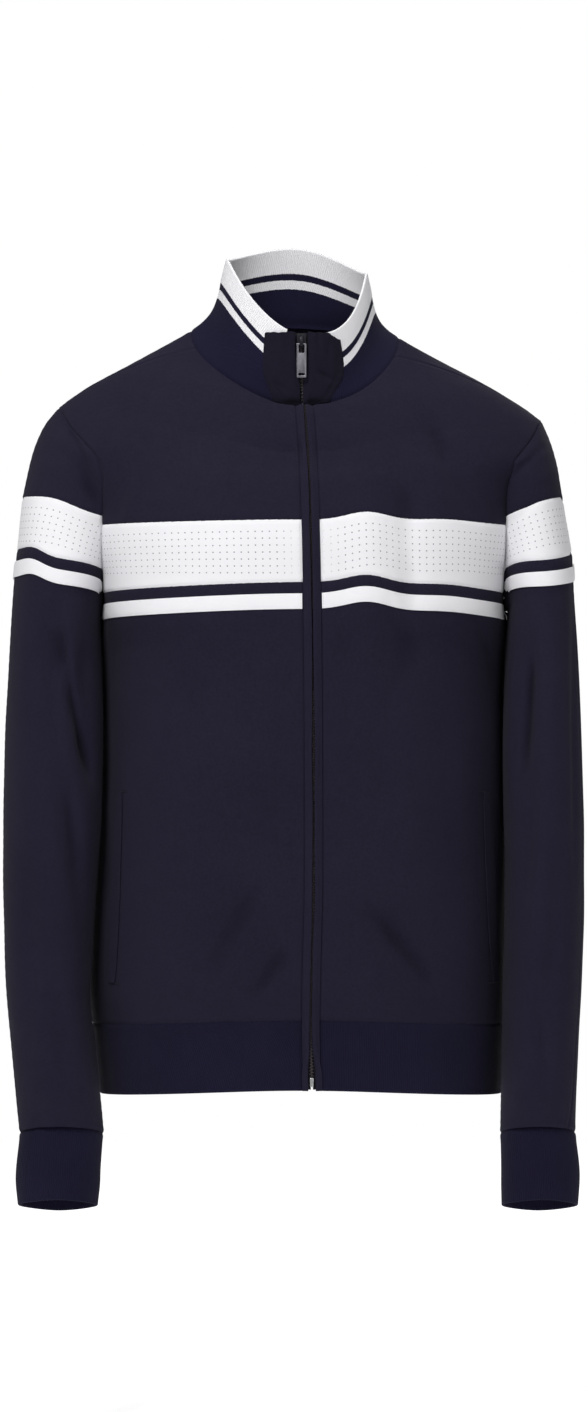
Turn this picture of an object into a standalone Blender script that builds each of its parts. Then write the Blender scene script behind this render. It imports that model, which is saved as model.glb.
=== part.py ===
"""Zip-front track jacket with a rib stand collar, in the form it takes when worn.

The front faces -Y, +X is the wearer's left, and +Z is up. The origin lies at the middle of the neck,
level with the high point of the shoulders. Lengths are in millimetres; MM scales them to metres where a
mesh, curve or place is made.
"""

import math

import bmesh
import bpy
import numpy as np

MM = 0.001
CLOTH = 1.3  # thickness of the knit shell
RIB = 2.4  # thickness of the folded rib
SEAM = 0.17  # each piece stops this far short of its seam line, so two pieces are 0.3 apart
MITRE = 0.9  # the same on the inner face, where two pieces meet at an angle
SHOULDER_MITRE, CROWN_MITRE = 1.5, 2.4  # and where the shoulder meets the sleeve, at the sharpest angle
LAID_ON = 0.3  # gap between a panel and what is laid on it
TAPE_CLOTH = 1.0  # thickness of the tape laid on the fronts and the sleeves
STEP = 0.01  # part of a panel over which a slope is measured

RIGHT, LEFT = -1, 1  # the wearer's sides, as signs of x
SIDE_NAMES = {RIGHT: "right", LEFT: "left"}

HEM_EDGE, HEM_SEAM = -694.0, -629.0  # levels at the side seam
UNDERARM, SHOULDER_POINT, NECK = -250.0, -68.5, 5.0
BAND_TOP, BAND_FOOT, TAPE_TOP, TAPE_FOOT = -173.0, -234.0, -244.5, -258.0

# Rings of the body from the hem to the neck. The level is the ring's height at the side seam.
TORSO_COLUMNS = (
    "level",
    "centre_x",
    "centre_y",
    "half_width",
    "front",
    "back",
    "front_rise",
    "back_rise",
    "square",
)
TORSO = (
    (-694, 0.5, 30, 186, 140, 80, 13, 0, 2.3),
    (-660, -0.5, 30, 188.5, 140, 80, 13, 0, 2.3),
    (-629, -1.8, 30, 190.4, 142, 82, 11, 0, 2.35),
    (-600, -2.6, 30, 191.6, 147, 85, 8, 0, 2.4),
    (-540, -1, 30, 191, 149, 83, 4, 0, 2.45),
    (-450, 2, 30, 188, 150, 78, 2, 0, 2.5),
    (-360, 3, 32, 187, 154, 75, 3, 0, 2.4),
    (-290, 3, 24, 185.6, 146.5, 84, 6, 0, 2.3),
    (-250, 3, 0, 183, 123, 112, 8, 0, 2.5),
    (-190, 2.5, 0, 191, 120, 119, 5, 2, 2.5),
    (-130, 1, 0, 207, 109, 123, -7, 8, 2.4),
    (-98, 0, 1, 234, 100, 119, -24, 12, 2.1),
    (-80, 0, 1, 231, 94, 115, -34, 14, 1.93),
    (-68.5, 0, 2, 222, 90, 111, -39, 15, 1.85),
    (-43, -1, 3, 184, 82, 102, -44, 14, 1.85),
    (-17.5, -3, 4, 137, 75, 88, -53, 13, 1.95),
    (5, -4.5, 5, 96, 67, 70, -69, 13, 2.1),
)

# The armhole seam. Its lower part is given by how far it lies in front of the underarm or behind it, and
# its upper part by its distance from the middle plane.
ARMHOLE_COLUMNS = ("level", "right_front", "left_front", "right_back", "left_back")
LOWER_ARMHOLE = (
    (-250, 0, 0, 0, 0),
    (-239, 15, 14, 13, 13),
    (-224.5, 28, 25.5, 24, 23),
    (-213, 36.5, 33, 32, 30),
    (-189, 48.5, 44, 44, 40),
    (-165, 57, 51, 54, 48),
    (-144, 62, 55, 61, 54),
)
UPPER_ARMHOLE_FOOT = -130.0
UPPER_ARMHOLE = (
    (-140, 179, 190, 186, 191),
    (-118, 180, 191, 190, 194),
    (-100, 193, 201, 199, 203),
    (-86, 207, 211, 209, 212),
    (-74, 217, 218, 217.5, 218),
    (-68.5, 222, 222, 222, 222),
)
# The two edges that meet at the armhole share their corners at these levels.
ARMHOLE_CORNERS = (-68.5, -69.2, -71, -74, -80, -88, -98, -110)
ARMHOLE_CORNERS += (-125, -144, -165, -189, -213, -224.5, -239, -250)
CROWN_END = -74.0  # from the shoulder point to here the armhole is the top edge of the sleeve

# The shoulder seam lies forward of the ridge by this much.
SHOULDER_SEAM_COLUMNS = ("level", "forward")
SHOULDER_SEAM = ((-68.5, 0), (-50, 6), (-25, 16), (5, 24))

# Rings of each sleeve. The level is the height of the ring at the sleeve's outer side, and meets is the
# level on the armhole or, below the underarm, on the underarm seam where the ring ends.
SLEEVE_COLUMNS = ("level", "outer", "middle", "depth", "centre_y", "meets")
SLEEVE = {
    RIGHT: (
        (-68.5, 222, 221, 4, 1, -74),
        (-80, 232, 214, 30, 1, -88),
        (-92, 239, 204, 48, 1, -102),
        (-108, 245.5, 190, 61, 1, -119),
        (-128, 250.5, 190, 66, 0, -142),
        (-148, 254.5, 200, 66, -1, -165),
        (-196, 259, 217, 65, -4, -213),
        (-232, 262.8, 222.5, 65, -8, -250),
        (-280, 265.2, 223.4, 65, -19, -290),
        (-360, 268, 223.8, 64, -33, -364),
        (-450, 270, 226, 62, -37, -450),
        (-520, 269.5, 228.2, 59, -39, -520),
        (-590, 267, 228.8, 55, -40, -590),
        (-648, 262, 224, 50, -42, -648),
        (-700, 257.5, 219.2, 43, -45, -700),
        (-724, 255, 217, 34, -46, -724),
    ),
    LEFT: (
        (-68.5, 222, 221, 4, 1, -74),
        (-80, 227, 214, 30, 1, -88),
        (-92, 231, 206, 48, 1, -102),
        (-108, 235, 201, 61, 1, -119),
        (-128, 238.5, 201, 66, 0, -142),
        (-148, 241.5, 206, 65, -1, -165),
        (-196, 249.5, 217.5, 65, -4, -213),
        (-232, 251, 220.8, 65, -8, -250),
        (-280, 253.5, 220.5, 65, -17, -290),
        (-360, 256.5, 221, 64, -32, -364),
        (-450, 258.3, 222.2, 63, -37, -450),
        (-520, 258.3, 222.4, 60, -39, -520),
        (-590, 256.5, 220.8, 56, -40, -590),
        (-648, 253, 218.5, 51, -42, -648),
        (-700, 250.5, 216.5, 44, -45, -700),
        (-724, 249.5, 215.8, 34, -46, -724),
    ),
}
SLEEVE_SQUARE = 2.2
SLEEVE_BAND = (-148.0, -196.0)  # levels of the inset band
SLEEVE_TAPE_MEETS = (-224.5, -239.0)  # the tape laid on the lower sleeve meets the armhole between these
PULLED_TO_ARMHOLE, DROPPED_TO_ARMHOLE = 2.5, 1.6  # how late in its run a row is brought to the armhole
CROWN_BLEND = 14.0  # the height over which the sleeve's top takes up the crown's line
OUTER_SEAM = {RIGHT: 15.0, LEFT: 42.0}  # degrees forward of the sleeve's outermost line
OUTER_SEAM_RUNS_IN = -150.0  # below this level the seam keeps that angle
SLEEVE_END, CUFF_EDGE = -724.0, -790.0
CUFF_TILT, CUFF_TILT_FROM = 8.0, -600.0  # the sleeve's foot and the cuff are higher in front

CUFF_COLUMNS = ("level", "outer", "middle", "depth", "centre_y")
CUFF = {
    RIGHT: ((-724, 254.5, 217, 30, -46), (-765, 258.5, 220, 29, -49), (-790, 256, 219.8, 28, -51)),
    LEFT: ((-724, 249.5, 215.8, 30, -46), (-765, 254, 218.2, 29, -49), (-790, 252.5, 217.8, 28, -51)),
}

# The zip's line across the front, from the neck to the hem.
ZIP_COLUMNS = ("height", "x")
ZIP_LINE = (
    (-700, 11),
    (-620, 9.5),
    (-480, 12),
    (-300, 11.3),
    (-180, 9.5),
    (-110, 7),
    (-60, 3.5),
    (-30, 1.5),
    (10, 1.2),
)
PLACKET = 8.0  # width of each placket
SLIT = 0.9  # half the slit between the plackets, over the chain
SLIT_AT_FOOT, SLIT_OPENS = 3.2, (-668.0, -640.0)
PLACKET_RISE, PLACKET_SHORT = 1.9, 1.2  # it stands off the chain, and stops short of the collar's seam
TAPE_HALF, TAPE_THICK = 7.3, 1.0
CHAIN_HALF, CHAIN_HEIGHT = 2.3, 1.5
CHAIN_FOOT = -669.0  # where the chain ends, above the retaining box
TAPE_DEPTH = CLOTH + 0.35  # the tape's outer face lies this far behind the front's outer face

# The collar from its seam to its edge: how far round it lies from its own middle.
COLLAR_COLUMNS = ("up", "half_width", "front", "back")
COLLAR = (
    (0, 96, 67, 70),
    (0.12, 86, 67, 68),
    (0.25, 78.5, 67.5, 66.5),
    (0.5, 72, 68.5, 64),
    (0.75, 69, 70, 61),
    (1, 65, 71.5, 58),
)
COLLAR_SQUARE = 2.1
COLLAR_CENTRE_X, COLLAR_CENTRE_Y, COLLAR_SHIFT = -4.5, 5.0, 1.5
COLLAR_FRONT_TOP, COLLAR_BACK_TOP = 1.0, 90.0
COLLAR_SIDE_TOP = {RIGHT: 71.0, LEFT: 66.0}
COLLAR_SWEEP = {RIGHT: 1.6, LEFT: 3.6}  # how late the front of the collar's edge climbs to its side
COLLAR_LEAN = 0.06  # the collar stands higher on the wearer's right
COLLAR_END_TOP, COLLAR_END_SLOPE = 1.5, {RIGHT: 0.0, LEFT: 5.0}  # its top, and how far its outer corner droops
COLLAR_END_REACH = {RIGHT: 33.0, LEFT: 35.0}  # from the zip to the outer edge of the collar's end
COLLAR_END_BULGE, COLLAR_END_TUCK = 4.0, 3.0  # its outer edge swells at mid height and tucks in at its foot
COLLAR_END_FOOT_GAP, COLLAR_END_OPENS = 1.4, 4.2  # from the zip's line to its inner edge
COLLAR_END_HEIGHT = -20.0  # the height on the zip's line from which its ends are measured
RIB_FROM_ZIP = 13.0

# Soft folds: x0, z0, x1, z1, half-width and depth. Each runs from the first place to the second as seen from
# the front, and a ridge has a negative depth.
TORSO_FRONT_FOLDS = (
    (62, -110, 64, -330, 20, -4.0),
    (92, -120, 95, -300, 15, 3.5),
    (-40, -500, -94, -590, 13, 3.0),
    (-14, -555, -42, -600, 10, 2.5),
    (64, -515, 136, -600, 15, 4.0),
    (-158, -110, -172, -175, 9, 2.5),
    (-124, -105, -145, -170, 11, 2.0),
    (120, -75, 162, -170, 13, 2.5),
)
TORSO_BACK_FOLDS = (
    (-60, -150, -75, -420, 20, 3.5),
    (70, -170, 60, -400, 22, 3.5),
    (-120, -470, -60, -590, 16, 3.5),
    (110, -450, 70, -600, 15, 3.0),
    (-150, -120, -165, -210, 12, 2.5),
    (150, -120, 165, -215, 12, 2.5),
)
SLEEVE_FRONT_FOLDS = {
    RIGHT: (
        (-227, -255, -216, -330, 11, 6.0),
        (-216, -320, -190, -405, 11, 5.5),
        (-238, -270, -224, -400, 10, 3.0),
        (-220, -400, -198, -490, 12, 4.0),
        (-212, -86, -188, -150, 10, 3.0),
        (-243, -520, -217, -650, 14, 2.5),
    ),
    LEFT: (
        (216, -95, 197, -150, 10, 3.0),
        (212, -290, 200, -420, 12, 3.5),
        (222, -550, 212, -680, 14, 2.5),
    ),
}
SLEEVE_BACK_FOLDS = {
    RIGHT: (
        (-238, -330, -205, -400, 13, 4.0),
        (-244, -410, -210, -470, 13, 3.5),
        (-222, -560, -240, -690, 14, 2.5),
    ),
    LEFT: (
        (234, -320, 205, -395, 13, 4.0),
        (240, -400, 208, -465, 13, 3.5),
        (214, -570, 232, -690, 14, 2.5),
    ),
}

SHOULDER_TILT = 0.028  # the wearer's right shoulder stands higher
TILT_FROM, TILT_TO = -165.0, -60.0
# How a ring's rise at the middle of the front or back falls away towards the sides, on the body and at the neck.
RISE_ROUND, NECK_ROUND, NECK_ROUND_FROM = 1.4, 1.0, -60.0
NECK_DROP, NECK_DROP_AT, NECK_DROP_WIDTH = 7.0, 0.85, 0.45  # the neckline is lower on the left front

# Pocket welts, on the front near the side seam.
WELT_TOP, WELT_FOOT, WELT_WIDTH, WELT_THICK = -416.0, -590.0, 9.0, 1.2
WELT_LINE = {RIGHT: (-163.0, -170.0), LEFT: (168.0, 177.0)}  # x at its top and its foot
WELT_END = 0.35  # share of its width that it keeps at each end

# Zip hardware.
SLIDER_HEIGHT, SLIDER_WIDTH, SLIDER_MIDDLE = 12.5, 8.4, -6.2
SLIDER_PLATE, SLIDER_FLANGE = 1.2, 1.5
BRIDGE_RADIUS, BRIDGE_RISE, BRIDGE_HALF, BRIDGE_MIDDLE = 0.65, 3.4, 4.6, -7.2
BRIDGE_WIDEN = 2.6  # the bridge is a strap, this much wider than it is thick
BRIDGE_ROOT, BRIDGE_FLAT = 0.6, 0.6  # how far its feet run into the plate, and how flat its arch is
PULL_LENGTH, PULL_WIDTH, PULL_THICK, PULL_CORNER = 31.0, 8.8, 1.4, 0.8
PRONG, WINDOW_LENGTH, EYE_BAR = 1.8, 8.0, 1.2  # the sides, length and top bar of the window round the bridge
PULL_AXIS_HEIGHT, PULL_AXIS_OUT = -9.5, 1.2  # its top bar's height, and how far it lies in front of the plate
PULL_SLOT_WIDTH, PULL_SLOT_HEIGHT, PULL_SLOT_UP = 5.6, 2.4, 1.9
BOX_WIDTH, BOX_HEIGHT, BOX_THICK = 5.2, 9.0, 2.4
METAL_GAP, EDGE_ROUND = 0.3, 0.4

# Where the cloth is drawn up, and with it the lines of the bands: x, width, the most that it rises, then the
# levels below which it is still, from and to which it rises most, and above which it is still.
CHEST_LIFTS = ((60, 26, 7.5, -420, -260, -180, -90), (130, 36, 2.5, -330, -240, -180, -110))
SLEEVE_LIFTS = {
    RIGHT: ((-220, 26, 8, -190, -160, -148, -100), (-243, 15, 8, -260, -215, -180, -140)),
    LEFT: ((219, 26, 4, -190, -160, -148, -100), (226, 32, -4.5, -260, -225, -195, -160)),
}


# ---------------------------------------------------------------- curves and tables


def column(table, columns, name):
    return np.array([row[columns.index(name)] for row in table], float)


def smooth(xs, ys, at):
    """A curve through the points (xs, ys) with no overshoot, read at each value; straight beyond its ends."""
    if xs[0] > xs[-1]:
        xs, ys = xs[::-1], ys[::-1]
    at = np.asarray(at, float)
    gaps = np.diff(xs)
    rates = np.diff(ys) / gaps
    slopes = np.concatenate([rates[:1], (rates[:-1] + rates[1:]) / 2, rates[-1:]])
    for i, (before, after) in enumerate(zip(rates[:-1], rates[1:]), start=1):
        limit = 3 * min(abs(before), abs(after)) if before * after > 0 else 0
        slopes[i] = np.clip(slopes[i], -limit, limit)
    k = np.clip(np.searchsorted(xs, at) - 1, 0, len(gaps) - 1)
    t = (at - xs[k]) / gaps[k]
    inside = np.clip(t, 0, 1)
    value = (
        (2 * inside**3 - 3 * inside**2 + 1) * ys[k]
        + (inside**3 - 2 * inside**2 + inside) * gaps[k] * slopes[k]
        + (3 * inside**2 - 2 * inside**3) * ys[k + 1]
        + (inside**3 - inside**2) * gaps[k] * slopes[k + 1]
    )
    before = np.minimum(t, 0) * slopes[k] * gaps[k]
    after = np.maximum(t - 1, 0) * slopes[k + 1] * gaps[k]
    return value + before + after


def read(table, columns, name, at):
    return smooth(column(table, columns, columns[0]), column(table, columns, name), at)


def ease(value, start, end):
    """0 at the start and 1 at the end, with level ends."""
    t = np.clip((value - start) / (end - start), 0, 1)
    return t * t * (3 - 2 * t)


def ring_radius(angle, half_width, half_depth, square):
    """Distance from the middle of a squared ellipse to its edge; angle 0 looks along its depth."""
    across = np.abs(np.sin(angle)) / half_width
    along = np.abs(np.cos(angle)) / half_depth
    return (across**square + along**square) ** (-1 / square)


def fold_depth(x, z, folds):
    """How far a set of folds pushes the cloth in at each place of the front view."""
    depth = np.zeros(np.broadcast(x, z).shape)
    for x0, z0, x1, z1, width, most in folds:
        length = math.hypot(x1 - x0, z1 - z0)
        along = ((x - x0) * (x1 - x0) + (z - z0) * (z1 - z0)) / length**2
        across = ((x - x0) * (z1 - z0) - (z - z0) * (x1 - x0)) / length
        fade = ease(along, -0.25, 0.3) * (1 - ease(along, 0.6, 1.25))
        depth += most * fade * np.exp(-((across / width) ** 2))
    return depth


def lifted(x, level, lifts):
    """How far the cloth is drawn up at each place."""
    total = np.zeros(np.broadcast(x, level).shape)
    for middle, width, most, below, full_from, full_to, above in lifts:
        share = ease(level, below, full_from) * (1 - ease(level, full_to, above))
        total += most * share * np.exp(-(((x - middle) / width) ** 2))
    return total


def tilted(points):
    """The shoulders' lean: above the chest, raised on the wearer's right and lowered on the left."""
    x, y, z = points
    return np.stack([x, y, z - SHOULDER_TILT * x * ease(z, TILT_FROM, TILT_TO)])


# ---------------------------------------------------------------- the body's surface


def torso(level, angle):
    """A point of the body. Angle 0 is the front, and a quarter turn is the wearer's left side."""
    row = {name: read(TORSO, TORSO_COLUMNS, name, level) for name in TORSO_COLUMNS[1:]}
    facing = np.cos(angle)
    half_depth = np.where(facing > 0, row["front"], row["back"])
    at_neck = ease(np.asarray(level, float), NECK_ROUND_FROM, NECK)
    rounding = RISE_ROUND + (NECK_ROUND - RISE_ROUND) * at_neck
    rise = np.where(facing > 0, row["front_rise"], row["back_rise"]) * np.abs(facing) ** rounding
    rise = rise - NECK_DROP * at_neck * np.exp(-(((angle - NECK_DROP_AT) / NECK_DROP_WIDTH) ** 2))
    radius = ring_radius(angle, row["half_width"], half_depth, row["square"])
    x = row["centre_x"] + radius * np.sin(angle)
    y = row["centre_y"] - radius * facing
    z = level + rise + lifted(x, level, CHEST_LIFTS) * ease(facing, 0, 0.6)
    front = fold_depth(x, z, TORSO_FRONT_FOLDS) * ease(facing, 0.05, 0.5)
    back = fold_depth(x, z, TORSO_BACK_FOLDS) * ease(-facing, 0.05, 0.5)
    return tilted(np.stack([x, y + front - back, z]))


def torso_angle(level, x, front=True):
    """The angle at which the ring of this level is at x, on its front or its back."""
    row = {name: read(TORSO, TORSO_COLUMNS, name, level) for name in TORSO_COLUMNS[1:]}
    across = np.clip((x - row["centre_x"]) / row["half_width"], -1, 1)
    half_depth = row["front"] if front else row["back"]
    deep = half_depth * (1 - np.abs(across) ** row["square"]) ** (1 / row["square"])
    return np.arctan2(across * row["half_width"], deep if front else -deep)


def depth_angle(level, side, depth, front):
    """The angle at which the ring of this level is this far in front of the side, or behind it."""
    row = {name: read(TORSO, TORSO_COLUMNS, name, level) for name in TORSO_COLUMNS[1:]}
    reach = depth / (row["front"] if front else row["back"])
    wide = side * row["half_width"] * (1 - reach ** row["square"]) ** (1 / row["square"])
    return np.arctan2(wide, depth if front else -depth)


def armhole_angle(level, side, front):
    name = SIDE_NAMES[side] + ("_front" if front else "_back")
    corners = np.array(ARMHOLE_CORNERS[::-1], float)
    upper = torso_angle(corners, side * read(UPPER_ARMHOLE, ARMHOLE_COLUMNS, name, corners), front)
    depth = read(LOWER_ARMHOLE, ARMHOLE_COLUMNS, name, np.minimum(corners, UPPER_ARMHOLE_FOOT))
    lower = depth_angle(corners, side, depth, front)
    return np.interp(level, corners, np.where(corners > UPPER_ARMHOLE_FOOT, upper, lower))


def armhole_edge(level, side, front):
    """A point of the armhole seam, straight from each of its corners to the next."""
    corners = np.array(ARMHOLE_CORNERS[::-1], float)
    points = torso(corners, armhole_angle(corners, side, front))
    return np.stack([np.interp(level, corners, values) for values in points])


def shoulder_angle(level, side):
    """The shoulder seam runs forward of the ridge, so the back panel reaches over it."""
    half = read(TORSO, TORSO_COLUMNS, "half_width", level)
    forward = read(SHOULDER_SEAM, SHOULDER_SEAM_COLUMNS, "forward", level)
    return side * (math.pi / 2 - np.arctan2(forward, half))


def edge_angle(level, side, front):
    """Where the front or the back panel ends: at the side seam, then the armhole, then the shoulder seam."""
    level = np.asarray(level, float)
    side_seam = np.full(level.shape, side * math.pi / 2)
    armhole = armhole_angle(np.clip(level, UNDERARM, SHOULDER_POINT), side, front)
    shoulder = shoulder_angle(np.clip(level, SHOULDER_POINT, NECK), side)
    return np.where(level < UNDERARM, side_seam, np.where(level > SHOULDER_POINT, shoulder, armhole))


def zip_x(height):
    return read(ZIP_LINE, ZIP_COLUMNS, "x", height)


def centre_angle(level, offset):
    """The angle at this distance from the zip's line, on the front."""
    height = level + read(TORSO, TORSO_COLUMNS, "front_rise", level)
    return torso_angle(level, zip_x(height) + offset)


def front_surface(side):
    """The front's surface: across runs from the placket to the panel's outer edge."""

    def point(level, across):
        start = centre_angle(level, side * (PLACKET + SEAM))
        end = edge_angle(level, side, True)
        return torso(level, start + (end - start) * across)

    return point


def back_surface(level, across):
    """The back's surface: across runs from the wearer's right edge round to the left one."""
    start = edge_angle(level, RIGHT, False) % (2 * math.pi)
    end = edge_angle(level, LEFT, False)
    return torso(level, start + (end - start) * across)


# ---------------------------------------------------------------- the sleeves' surface


def sleeve_ring(table, columns, level, side, angle):
    """A point of a sleeve's or cuff's ring, before it is brought to the armhole. Angle 0 is outermost."""
    row = {name: read(table, columns, name, level) for name in columns[1:]}
    half_width = row["outer"] - row["middle"]
    radius = ring_radius(angle + math.pi / 2, half_width, row["depth"], SLEEVE_SQUARE)
    x = side * (row["middle"] + radius * np.cos(angle))
    y = row["centre_y"] - radius * np.sin(angle)
    return x, y


def outer_seam_angle(level, side):
    return math.radians(OUTER_SEAM[side]) * ease(np.asarray(level, float), SHOULDER_POINT, OUTER_SEAM_RUNS_IN)


def sleeve_surface(side, front):
    """One sleeve panel: across runs from the outer seam to the armhole or the underarm seam."""
    table = SLEEVE[side]
    turn = 1 if front else -1

    def point(level, across):
        level, across = np.broadcast_arrays(np.minimum(level, SHOULDER_POINT), across)
        meets = read(table, SLEEVE_COLUMNS, "meets", level)
        on_armhole = armhole_edge(np.clip(meets, UNDERARM, SHOULDER_POINT), side, front)
        start = outer_seam_angle(level, side)
        reach_x = side * on_armhole[0] - read(table, SLEEVE_COLUMNS, "middle", level)
        reach_y = turn * (read(table, SLEEVE_COLUMNS, "centre_y", level) - on_armhole[1])
        to_armhole = turn * np.arctan2(np.maximum(reach_y, 0), reach_x)
        end = np.where(meets < UNDERARM, turn * math.pi, to_armhole)
        angle = start + (end - start) * across
        x, y = sleeve_ring(table, SLEEVE_COLUMNS, level, side, angle)
        end_x, end_y = sleeve_ring(table, SLEEVE_COLUMNS, level, side, end)
        pull = np.clip(across, 0, None) ** PULLED_TO_ARMHOLE * np.where(meets < UNDERARM, 0, 1)
        x = x + pull * (on_armhole[0] - end_x)
        y = y + pull * (on_armhole[1] - end_y)
        low = np.where(meets < UNDERARM, meets, on_armhole[2])
        drop = np.clip(across, 0, None) ** DROPPED_TO_ARMHOLE
        tilt = SHOULDER_TILT * x * ease(level, TILT_FROM, TILT_TO)
        z = (level - tilt) * (1 - drop) + low * drop
        z = z + CUFF_TILT * np.sin(angle) * ease(-level, -CUFF_TILT_FROM, -SLEEVE_END)
        z = z + lifted(x, level, SLEEVE_LIFTS[side]) * ease(turn * np.sin(angle), 0, 0.5) * (1 - pull)
        folds = SLEEVE_FRONT_FOLDS[side] if front else SLEEVE_BACK_FOLDS[side]
        inward = fold_depth(x, z, folds) * ease(turn * np.sin(angle), 0.05, 0.4)
        points = np.stack([x, y + turn * inward * (1 - pull), z])
        crown_level = SHOULDER_POINT + (CROWN_END - SHOULDER_POINT) * across * np.abs(across)
        crown = armhole_edge(crown_level, side, front)
        share = 1 - ease(level, SHOULDER_POINT, SHOULDER_POINT - CROWN_BLEND)
        return points + (crown - points) * share

    return point


def cuff_surface(side):
    def point(level, around):
        angle = 2 * math.pi * around
        x, y = sleeve_ring(CUFF[side], CUFF_COLUMNS, level, side, angle)
        return np.stack([x, y, level + CUFF_TILT * np.sin(angle)])

    return point


# ---------------------------------------------------------------- the collar's surface


def collar(up, angle):
    """A point of the collar. Up runs from its seam to its edge, and the angle is measured as on the body."""
    facing, sideways = np.cos(angle), np.abs(np.sin(angle))
    half_width = read(COLLAR, COLLAR_COLUMNS, "half_width", up)
    half_depth = np.where(
        facing > 0, read(COLLAR, COLLAR_COLUMNS, "front", up), read(COLLAR, COLLAR_COLUMNS, "back", up)
    )
    radius = ring_radius(angle, half_width, half_depth, COLLAR_SQUARE)
    x = radius * np.sin(angle) + COLLAR_CENTRE_X + COLLAR_SHIFT * up
    y = COLLAR_CENTRE_Y - radius * facing
    foot = torso(np.full(np.shape(x), NECK), angle)[2]
    side_top = np.where(np.sin(angle) > 0, COLLAR_SIDE_TOP[LEFT], COLLAR_SIDE_TOP[RIGHT])
    sweep_late = np.where(np.sin(angle) > 0, COLLAR_SWEEP[LEFT], COLLAR_SWEEP[RIGHT])
    front_top = COLLAR_FRONT_TOP + (side_top - COLLAR_FRONT_TOP) * sideways**sweep_late
    back_top = side_top + (COLLAR_BACK_TOP - side_top) * (1 - sideways**2)
    top = np.where(facing > 0, front_top, back_top) - COLLAR_LEAN * x
    return np.stack([x, y, foot + (top - foot) * up])


def collar_angle(up, x):
    """The angle at which the collar is at x, on its front."""
    half_width = read(COLLAR, COLLAR_COLUMNS, "half_width", up)
    half_depth = read(COLLAR, COLLAR_COLUMNS, "front", up)
    across = (x - COLLAR_CENTRE_X - COLLAR_SHIFT * up) / half_width
    deep = half_depth * (1 - np.abs(across) ** COLLAR_SQUARE) ** (1 / COLLAR_SQUARE)
    return np.arctan2(across * half_width, deep)


def collar_surface(up, around):
    start = collar_angle(up, zip_x(0) + RIB_FROM_ZIP)
    end = 2 * math.pi + collar_angle(up, zip_x(0) - RIB_FROM_ZIP)
    return collar(up, start + (end - start) * around)


def collar_end_surface(side):
    """The shell piece over the rib's front end, from the zip's edge outwards."""

    def point(up, across):
        bulge = COLLAR_END_BULGE * np.sin(np.pi * np.clip(up, 0, 1))
        outer = COLLAR_END_REACH[side] + bulge - COLLAR_END_TUCK * (1 - ease(up, 0, 0.35))
        inner = COLLAR_END_FOOT_GAP + COLLAR_END_OPENS * ease(up, 0.2, 0.8)
        x = zip_x(COLLAR_END_HEIGHT) + side * (inner + (outer - inner) * across)
        middle_angle = collar_angle(np.full(np.shape(x), 0.5), x)
        foot = collar(np.zeros(np.shape(x)), middle_angle)[2]
        top = collar(np.ones(np.shape(x)), middle_angle)[2]
        edge = COLLAR_END_TOP - COLLAR_END_SLOPE[side] * ease(across, 0.55, 1.0)
        height = up * (edge - foot) / (top - foot)
        return collar(height, collar_angle(height, x))

    return point


# ---------------------------------------------------------------- walls


def grid(surface, rows, columns):
    """Points and outward normals of a surface, as arrays of (3, rows, columns)."""
    v, u = np.meshgrid(rows, columns, indexing="ij")
    tall = STEP * (rows[-1] - rows[0])
    wide = STEP * (columns[-1] - columns[0])
    points = surface(v, u)
    over = surface(v, u + wide) - surface(v, u - wide)
    up = surface(v + tall, u) - surface(v - tall, u)
    normals = np.cross(over, up, axis=0)
    return points, normals / np.linalg.norm(normals, axis=0)


def drawn_in(points, amount, closed=False):
    """The same points with the edges moved in along the cloth."""
    result = points.copy()

    def move(edge, inner):
        way = points[inner] - points[edge]
        result[edge] += amount * way / np.linalg.norm(way, axis=0)

    move(np.s_[:, 0], np.s_[:, 1])
    move(np.s_[:, -1], np.s_[:, -2])
    if not closed:
        move(np.s_[:, :, 0], np.s_[:, :, 1])
        move(np.s_[:, :, -1], np.s_[:, :, -2])
    return result


def wall(surface, rows, columns, thick, inside, raised=0.0, closed=False, mitre=MITRE):
    """Vertices and faces of a cloth wall on a surface that turns its back on the upright line at inside.

    Raised lifts the wall off what it is laid on; without it the wall lies under the surface.
    """
    rows, columns = np.asarray(rows, float), np.asarray(columns, float)
    points, normals = grid(surface, rows, columns)
    away = (points[:2] - np.reshape(inside, (2, 1, 1))) * normals[:2]
    normals = normals * math.copysign(1, away.sum())
    outer = drawn_in(points + normals * (raised + (thick if raised else 0)), SEAM, closed)
    inner = drawn_in(points + normals * (raised if raised else -thick), mitre, closed)
    if closed:
        outer, inner = outer[:, :, :-1], inner[:, :, :-1]
    high, wide = outer.shape[1:]
    vertices = np.concatenate([outer.reshape(3, -1).T, inner.reshape(3, -1).T])
    shift = high * wide
    faces = []
    across = range(wide) if closed else range(wide - 1)
    for i in range(high - 1):
        for j in across:
            k = (j + 1) % wide
            a, b, c, d = i * wide + j, i * wide + k, (i + 1) * wide + k, (i + 1) * wide + j
            faces += [(a, b, c), (a, c, d)]
            faces += [(c + shift, b + shift, a + shift), (d + shift, c + shift, a + shift)]
    for j in across:
        k = (j + 1) % wide
        faces.append((j, j + shift, k + shift, k))
        top, next_top = (high - 1) * wide + j, (high - 1) * wide + k
        faces.append((top, next_top, next_top + shift, top + shift))
    if not closed:
        for i in range(high - 1):
            a, b = i * wide, (i + 1) * wide
            faces.append((a, b, b + shift, a + shift))
            a, b = a + wide - 1, b + wide - 1
            faces.append((b, a, a + shift, b + shift))
    return vertices, faces


# ---------------------------------------------------------------- objects


def clear_scene():
    for item in list(bpy.data.objects):
        bpy.data.objects.remove(item, do_unlink=True)


def material(name, colour, roughness, metallic=0.0):
    made = bpy.data.materials.new(name)
    made.use_nodes = True
    shader = made.node_tree.nodes["Principled BSDF"]
    shader.inputs["Base Color"].default_value = (*colour, 1)
    shader.inputs["Roughness"].default_value = roughness
    shader.inputs["Metallic"].default_value = metallic
    return made


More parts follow.
